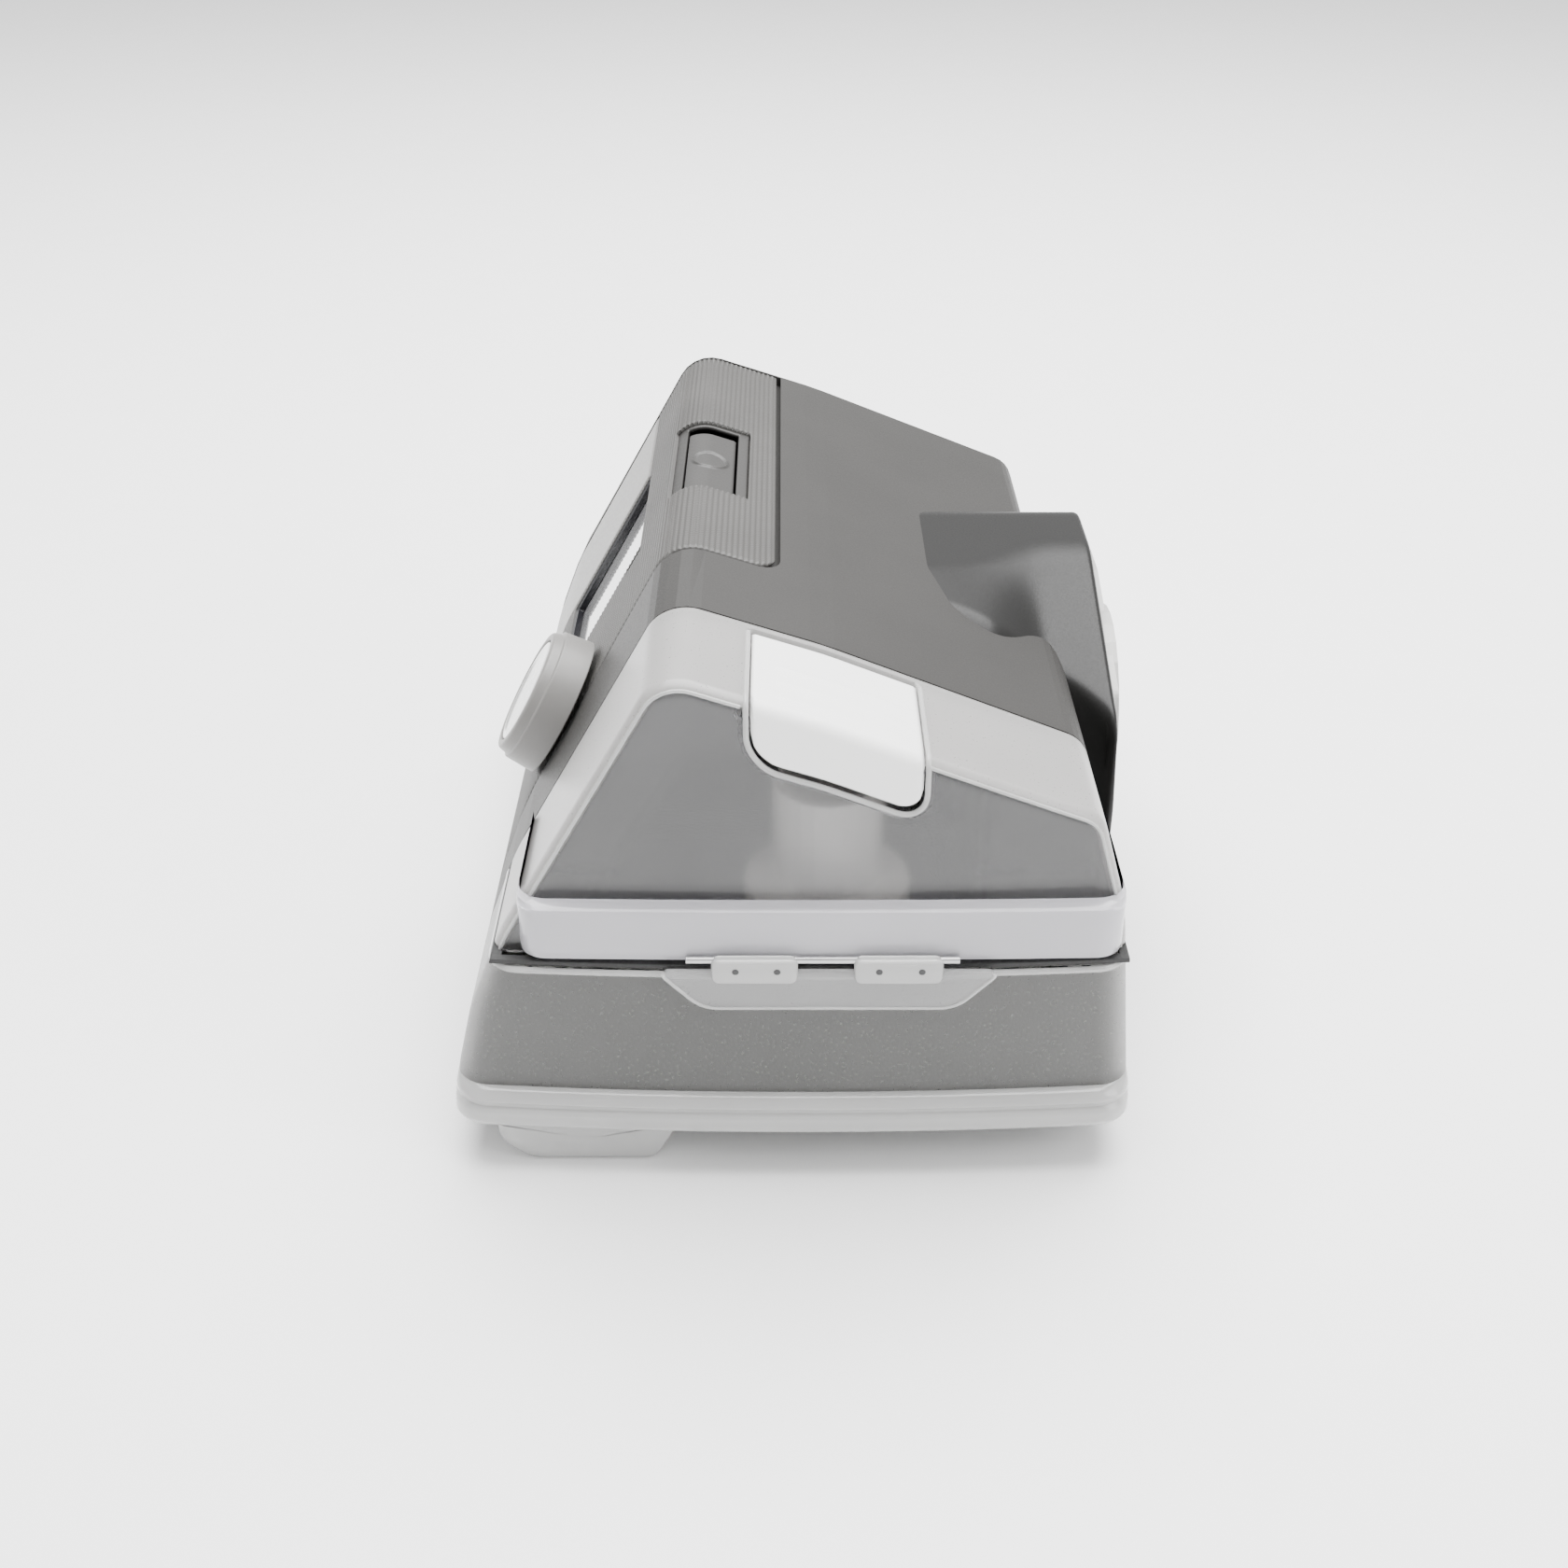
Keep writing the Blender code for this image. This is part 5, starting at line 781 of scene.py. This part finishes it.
# ---- Water tub, lid
# A second clear moulding: frosted milky sides that carry on the line of the body, a clearer bowed end
# face, a flange that closes on the lower half, two snap catches and a lip for the fingers.

LID_S0 = body_track.find(1, 54.3, 0.0, APEX_S)
LID_S1 = body_track.find(1, 54.3, APEX_S)
lid_s = np.linspace(LID_S0, LID_S1, 400)
POLE = np.array((2.5, 54.3))
lid_end = 94.5 - 3.5 * (body_track.at(lid_s)[:, 0] / 95.0) ** 2
GRIP_S0, GRIP_S1 = body_track.find(0, -9.6, APEX_S), body_track.find(0, 24.1, APEX_S)
GRIP_START, GRIP_RUN, GRIP_WELL = 64.0, 43.3, 2.6
grip_s = np.linspace(GRIP_S0 - 8.0, GRIP_S1 + 8.0, 200)
grip_line = body_track.at(grip_s)


def grip_depth(run, s):
    """Depth of the pad's well: the distance inside a rounded rectangle, cut off at one wall, times the depth."""
    u = np.abs(run - GRIP_RUN / 2 + 5.0) - GRIP_RUN / 2 - 5.0 + 6.8
    v = np.abs(s - (GRIP_S0 + GRIP_S1) / 2) - (GRIP_S1 - GRIP_S0) / 2 - 0.9 + 6.8
    away = np.hypot(np.maximum(u, 0.0), np.maximum(v, 0.0)) + np.minimum(np.maximum(u, v), 0.0) - 6.8
    return GRIP_WELL * np.clip(-away / 0.9, 0.0, 1.0) * np.clip((run + 1.3) / 0.8, 0.0, 1.0)


def lid_row(x, run, turn):
    """The lid's section at x: sunk under the pad by the well's depth, square to the skin at that turn."""
    depth = grip_depth(run, lid_s)
    row = on_body(x, lid_s, -0.05 - 3.0 * (1 - math.cos(turn)) - depth * math.cos(turn))
    row[:, 0] += (3.0 - depth) * math.sin(turn)
    return row


band_rows = []
for t in np.linspace(0.0, 1.0, 52):
    x = TUB_BACK + (lid_end - 3.0 - TUB_BACK) * t
    band_rows.append(lid_row(x, x - GRIP_START, 0.0))
edge_rows = [lid_row(lid_end - 3.0, lid_end - 3.0 - GRIP_START + 3.0 * turn, turn)
             for turn in np.linspace(0.12, math.pi / 2, 9)]
face_rows = []
rim_row = on_body(lid_end, lid_s, -3.05)
for k in np.linspace(1.0, 0.0, 90):
    row = rim_row.copy()
    row[:, 1:] = POLE + (row[:, 1:] - POLE) * k
    bow = 94.5 - 3.5 * (row[:, 1] / 95.0) ** 2
    below = np.interp(row[:, 1], grip_line[:, 0], grip_line[:, 1]) - 3.0 - row[:, 2]
    under = np.interp(row[:, 1], grip_line[:, 0], grip_s)
    row[:, 0] = bow - grip_depth(bow - 3.0 - GRIP_START + 3.0 * math.pi / 2 + below, under)
    face_rows.append(row)
lid_band = surface("lid_band", np.stack(band_rows + edge_rows[:6]))
add(shell(faced_out(lid_band, (75.0, 0.0, 55.0)), 1.9), "tub", "clear", lid_milky, stands_for=["tub_lid"])
lid_face = surface("lid_end_face", np.stack(edge_rows[5:] + face_rows[1:-1]))
add(shell(faced_out(lid_face, (75.0, 0.0, 55.0)), 1.9), "tub", "clear", lid_clear)


def bead(name, line, radius, body, finish, steps=10):
    """A round bead along a line in space: circles square to the line, closed at both ends."""
    along = np.gradient(line, axis=0)
    along /= np.linalg.norm(along, axis=1, keepdims=True)
    side = np.cross(along, (1.0, 0.0, 0.0))
    weak = np.linalg.norm(side, axis=1) < 0.2
    side[weak] = np.cross(along[weak], (0.0, 0.0, 1.0))
    side /= np.linalg.norm(side, axis=1, keepdims=True)
    other = np.cross(along, side)
    angle = np.linspace(0.0, 2 * math.pi, steps, endpoint=False)[None, :, None]
    grid = line[:, None] + radius * (np.cos(angle) * side[:, None] + np.sin(angle) * other[:, None])
    piece = faced_out(surface(name, grid, wrap=True, start=True, end=True), line.mean(axis=0))
    return add(piece, body, "clear", finish)


edge_line = edge_rows[5]
beside_pad = (("front", lid_s < GRIP_S0 - 1.5), ("rear", lid_s > GRIP_S1 + 1.5))
for side_name, chosen in beside_pad:
    bead("lid_edge_bead_" + side_name, edge_line[chosen], 0.40, "tub", rim_clear)
bead("lid_body_bead", on_body(TUB_BACK + 0.7, lid_s, -0.55), 0.50, "tub", rim_clear)

flange = plan_tube("lid_flange", (
    (94.5, 0.0, 67.2), (97.3, 0.0, 67.2), (98.2, 0.0, 66.6), (98.5, 0.0, 65.5), (98.3, 0.0, 61.2), (98.45, 0.0, 56.2),
    (98.1, 0.0, 54.9), (97.0, 0.0, 54.4), (94.5, 0.0, 54.4), (94.5, 0.0, 55.6), (96.6, 0.0, 56.0), (96.6, 0.0, 65.2),
    (94.5, 0.0, 65.8)), 6.0, 2.0, (-57.4, 66.4))
add(flange, "tub", "clear", flange_clear)
for name, y0, y1 in (("catch_front", -17.9, -0.3), ("catch_rear", 11.1, 29.2)):
    block = moulding(name, rectangle(y0, 50.6, y1, 56.8, 1.6), ((0.9, 98.6), (0.2, 98.8), (0.0, 99.2), (0.0, 100.2),
                                                                (0.3, 100.7), (0.9, 100.9)), along_x)
    add(block, "tub", "clear", rim_clear)
    for k, share in enumerate((0.28, 0.76)):
        y = y0 + (y1 - y0) * share
        dot = moulding(name + "_pin_" + str(k), rectangle(y - 0.7, 53.2, y + 0.7, 54.6, 0.69),
                        ((0.1, 100.4), (0.0, 100.5), (0.0, 100.9), (0.15, 101.05)), along_x, 3)
        add(dot, "tub", "black_plastic", black_plastic)
lip_line = arcs(((-29.0, 53.6, 1.0), (-20.0, 44.3, 8.0), (32.0, 44.3, 8.0), (41.0, 53.6, 1.0)), 5.0)
lip = moulding("finger_lip", lip_line, ((1.0, 98.9), (0.3, 99.0), (0.0, 99.3), (0.0, 100.0), (0.3, 100.3),
                                        (1.0, 100.4)), along_x)
add(lip, "tub", "clear", lip_clear)
lip_edge = Track(lip_line, closed=True)
lip_flat = lip_edge.at(np.linspace(0.0, lip_edge.length, 400))
lip_flat = lip_flat[lip_flat[:, 1] < 53.3]
bead("finger_lip_edge", np.insert(lip_flat, 0, 100.1, axis=1), 0.45, "tub", rim_clear)

lid_dock_line = arcs(((-42.0, 54.4, 0), (-25.35, 82.8, 6.8), (40.8, 82.8, 6.8), (40.8, 54.4, 0)), 6.0, closed=False)


PORT_IN_Y, PORT_OUT_Y, PORT_Z, PORT_RADIUS = -13.0, 31.0, 66.0, 6.5


def over_ports(middle):
    """Cells of the end wall over the two air ports."""
    rise = middle[..., 2] - PORT_Z
    nearest = np.minimum(np.hypot(middle[..., 1] - PORT_IN_Y, rise), np.hypot(middle[..., 1] - PORT_OUT_Y, rise))
    return (nearest < PORT_RADIUS) & (middle[..., 0] < -20.0)


add(inner_skin("tub_lid_inner", lid_dock_line, (8.0, 54.4), over_ports), "tub", "clear", base_clear)


def shoulder(name, inner_line, outer_line, z):
    """The wall across the tub's back, from the dock's line out to the body's line, 1.6 thick."""
    inner, outer = (Track(line).at(np.linspace(0.0, Track(line).length, 240))
                    for line in (inner_line, outer_line))
    share = np.linspace(0.03, 0.98, 12)[:, None, None]
    flat = inner[None] + (outer - inner)[None] * share
    wide = np.linalg.norm(outer - inner, axis=1) > 3.0
    keep = np.repeat((wide[:-1] & wide[1:])[None], len(share) - 1, axis=0)
    wall = surface(name, np.insert(flat, 0, TUB_BACK + 0.05, axis=2), keep=keep)
    shell(faced_out(wall, (90.0, 0.0, z)), 1.6)
    wall.modifiers["wall"].use_even_offset = False
    return add(wall, "tub", "clear", base_clear)


low_line = np.array([(side_y(z)[0], z) for z in np.linspace(52.2, 12.5, 40)]
                    + [(y, 11.3) for y in np.linspace(-73.0, 70.0, 60)]
                    + [(side_y(z)[1], z) for z in np.linspace(12.5, 52.2, 40)])
shoulder("tub_base_shoulder", base_dock_line, low_line, 30.0)
shoulder("tub_lid_shoulder", lid_dock_line, body_track.at(lid_s), 70.0)


# ---- Grip pad
# A soft white pad moulded into a clear frame on the tub's upper edge; it bends down over the end face and
# has three low ridges for the thumb.


def grip_sheet(run, s, out):
    """Place (distance outwards from x 64, distance round the body, height) on the top edge and end face."""
    run, s, out = np.broadcast_arrays(run, s, out)
    end = 94.5 - 3.5 * (body_track.at(s)[..., 0] / 95.0) ** 2
    flat = end - 3.0 - GRIP_START
    turn = np.clip((run - flat) / 3.0, 0.0, math.pi / 2)
    below = np.clip(run - flat - 3.0 * math.pi / 2, 0.0, None)
    x = GRIP_START + np.minimum(run, flat) + (3.0 + out) * np.sin(turn)
    point = on_body(x, s, 0.0)
    point[..., 2] += (3.0 + out) * np.cos(turn) - 3.0 - below
    return point


pad_run = np.linspace(0.4, 41.6, 90)
pad_s = np.linspace(GRIP_S0, GRIP_S1, 50)
corner_v = np.clip(np.abs(pad_s - (GRIP_S0 + GRIP_S1) / 2) - (GRIP_S1 - GRIP_S0) / 2 + 6.0, 0.0, 6.0)
pad_length = 41.6 - 6.0 + np.sqrt(36.0 - corner_v ** 2)
pad_runs = pad_run[:, None] / 41.6 * pad_length[None]
pad_out = 0.28 * np.ones_like(pad_runs)
for ridge in (12.5, 18.5, 24.5):
    across = np.clip((pad_s - GRIP_S0 - 4.0) / 3.0, 0, 1) * np.clip((GRIP_S1 - 3.0 - pad_s) / 3.0, 0, 1)
    pad_out += 0.42 * np.exp(-((pad_runs - ridge) / 1.1) ** 2) * across[None]
pad_edge = np.minimum(np.minimum(pad_s - GRIP_S0, GRIP_S1 - pad_s)[None],
                      np.minimum(pad_runs, pad_length[None] - pad_runs))
pad_out -= 0.5 * (1 - np.clip(pad_edge / 0.8, 0, 1)) ** 2
pad = surface("grip_pad", grip_sheet(pad_runs, pad_s[None], pad_out - 0.25))
add(shell(faced_out(pad, (75.0, 5.0, 60.0)), 1.0), "tub_grip", "white_soft", pad_white, stands_for=["tub_grip"])
frame_flat = arcs(((0.0, GRIP_S0 - 0.9, 0), (GRIP_RUN, GRIP_S0 - 0.9, 6.8), (GRIP_RUN, GRIP_S1 + 0.9, 6.8),
                   (0.0, GRIP_S1 + 0.9, 0)), 5.0, closed=False)
frame_flat = Track(frame_flat).at(np.linspace(0.0, Track(frame_flat).length, 260))
bead("grip_frame", grip_sheet(frame_flat[:, 0], frame_flat[:, 1], -0.35), 0.6, "tub", rim_clear, 12)
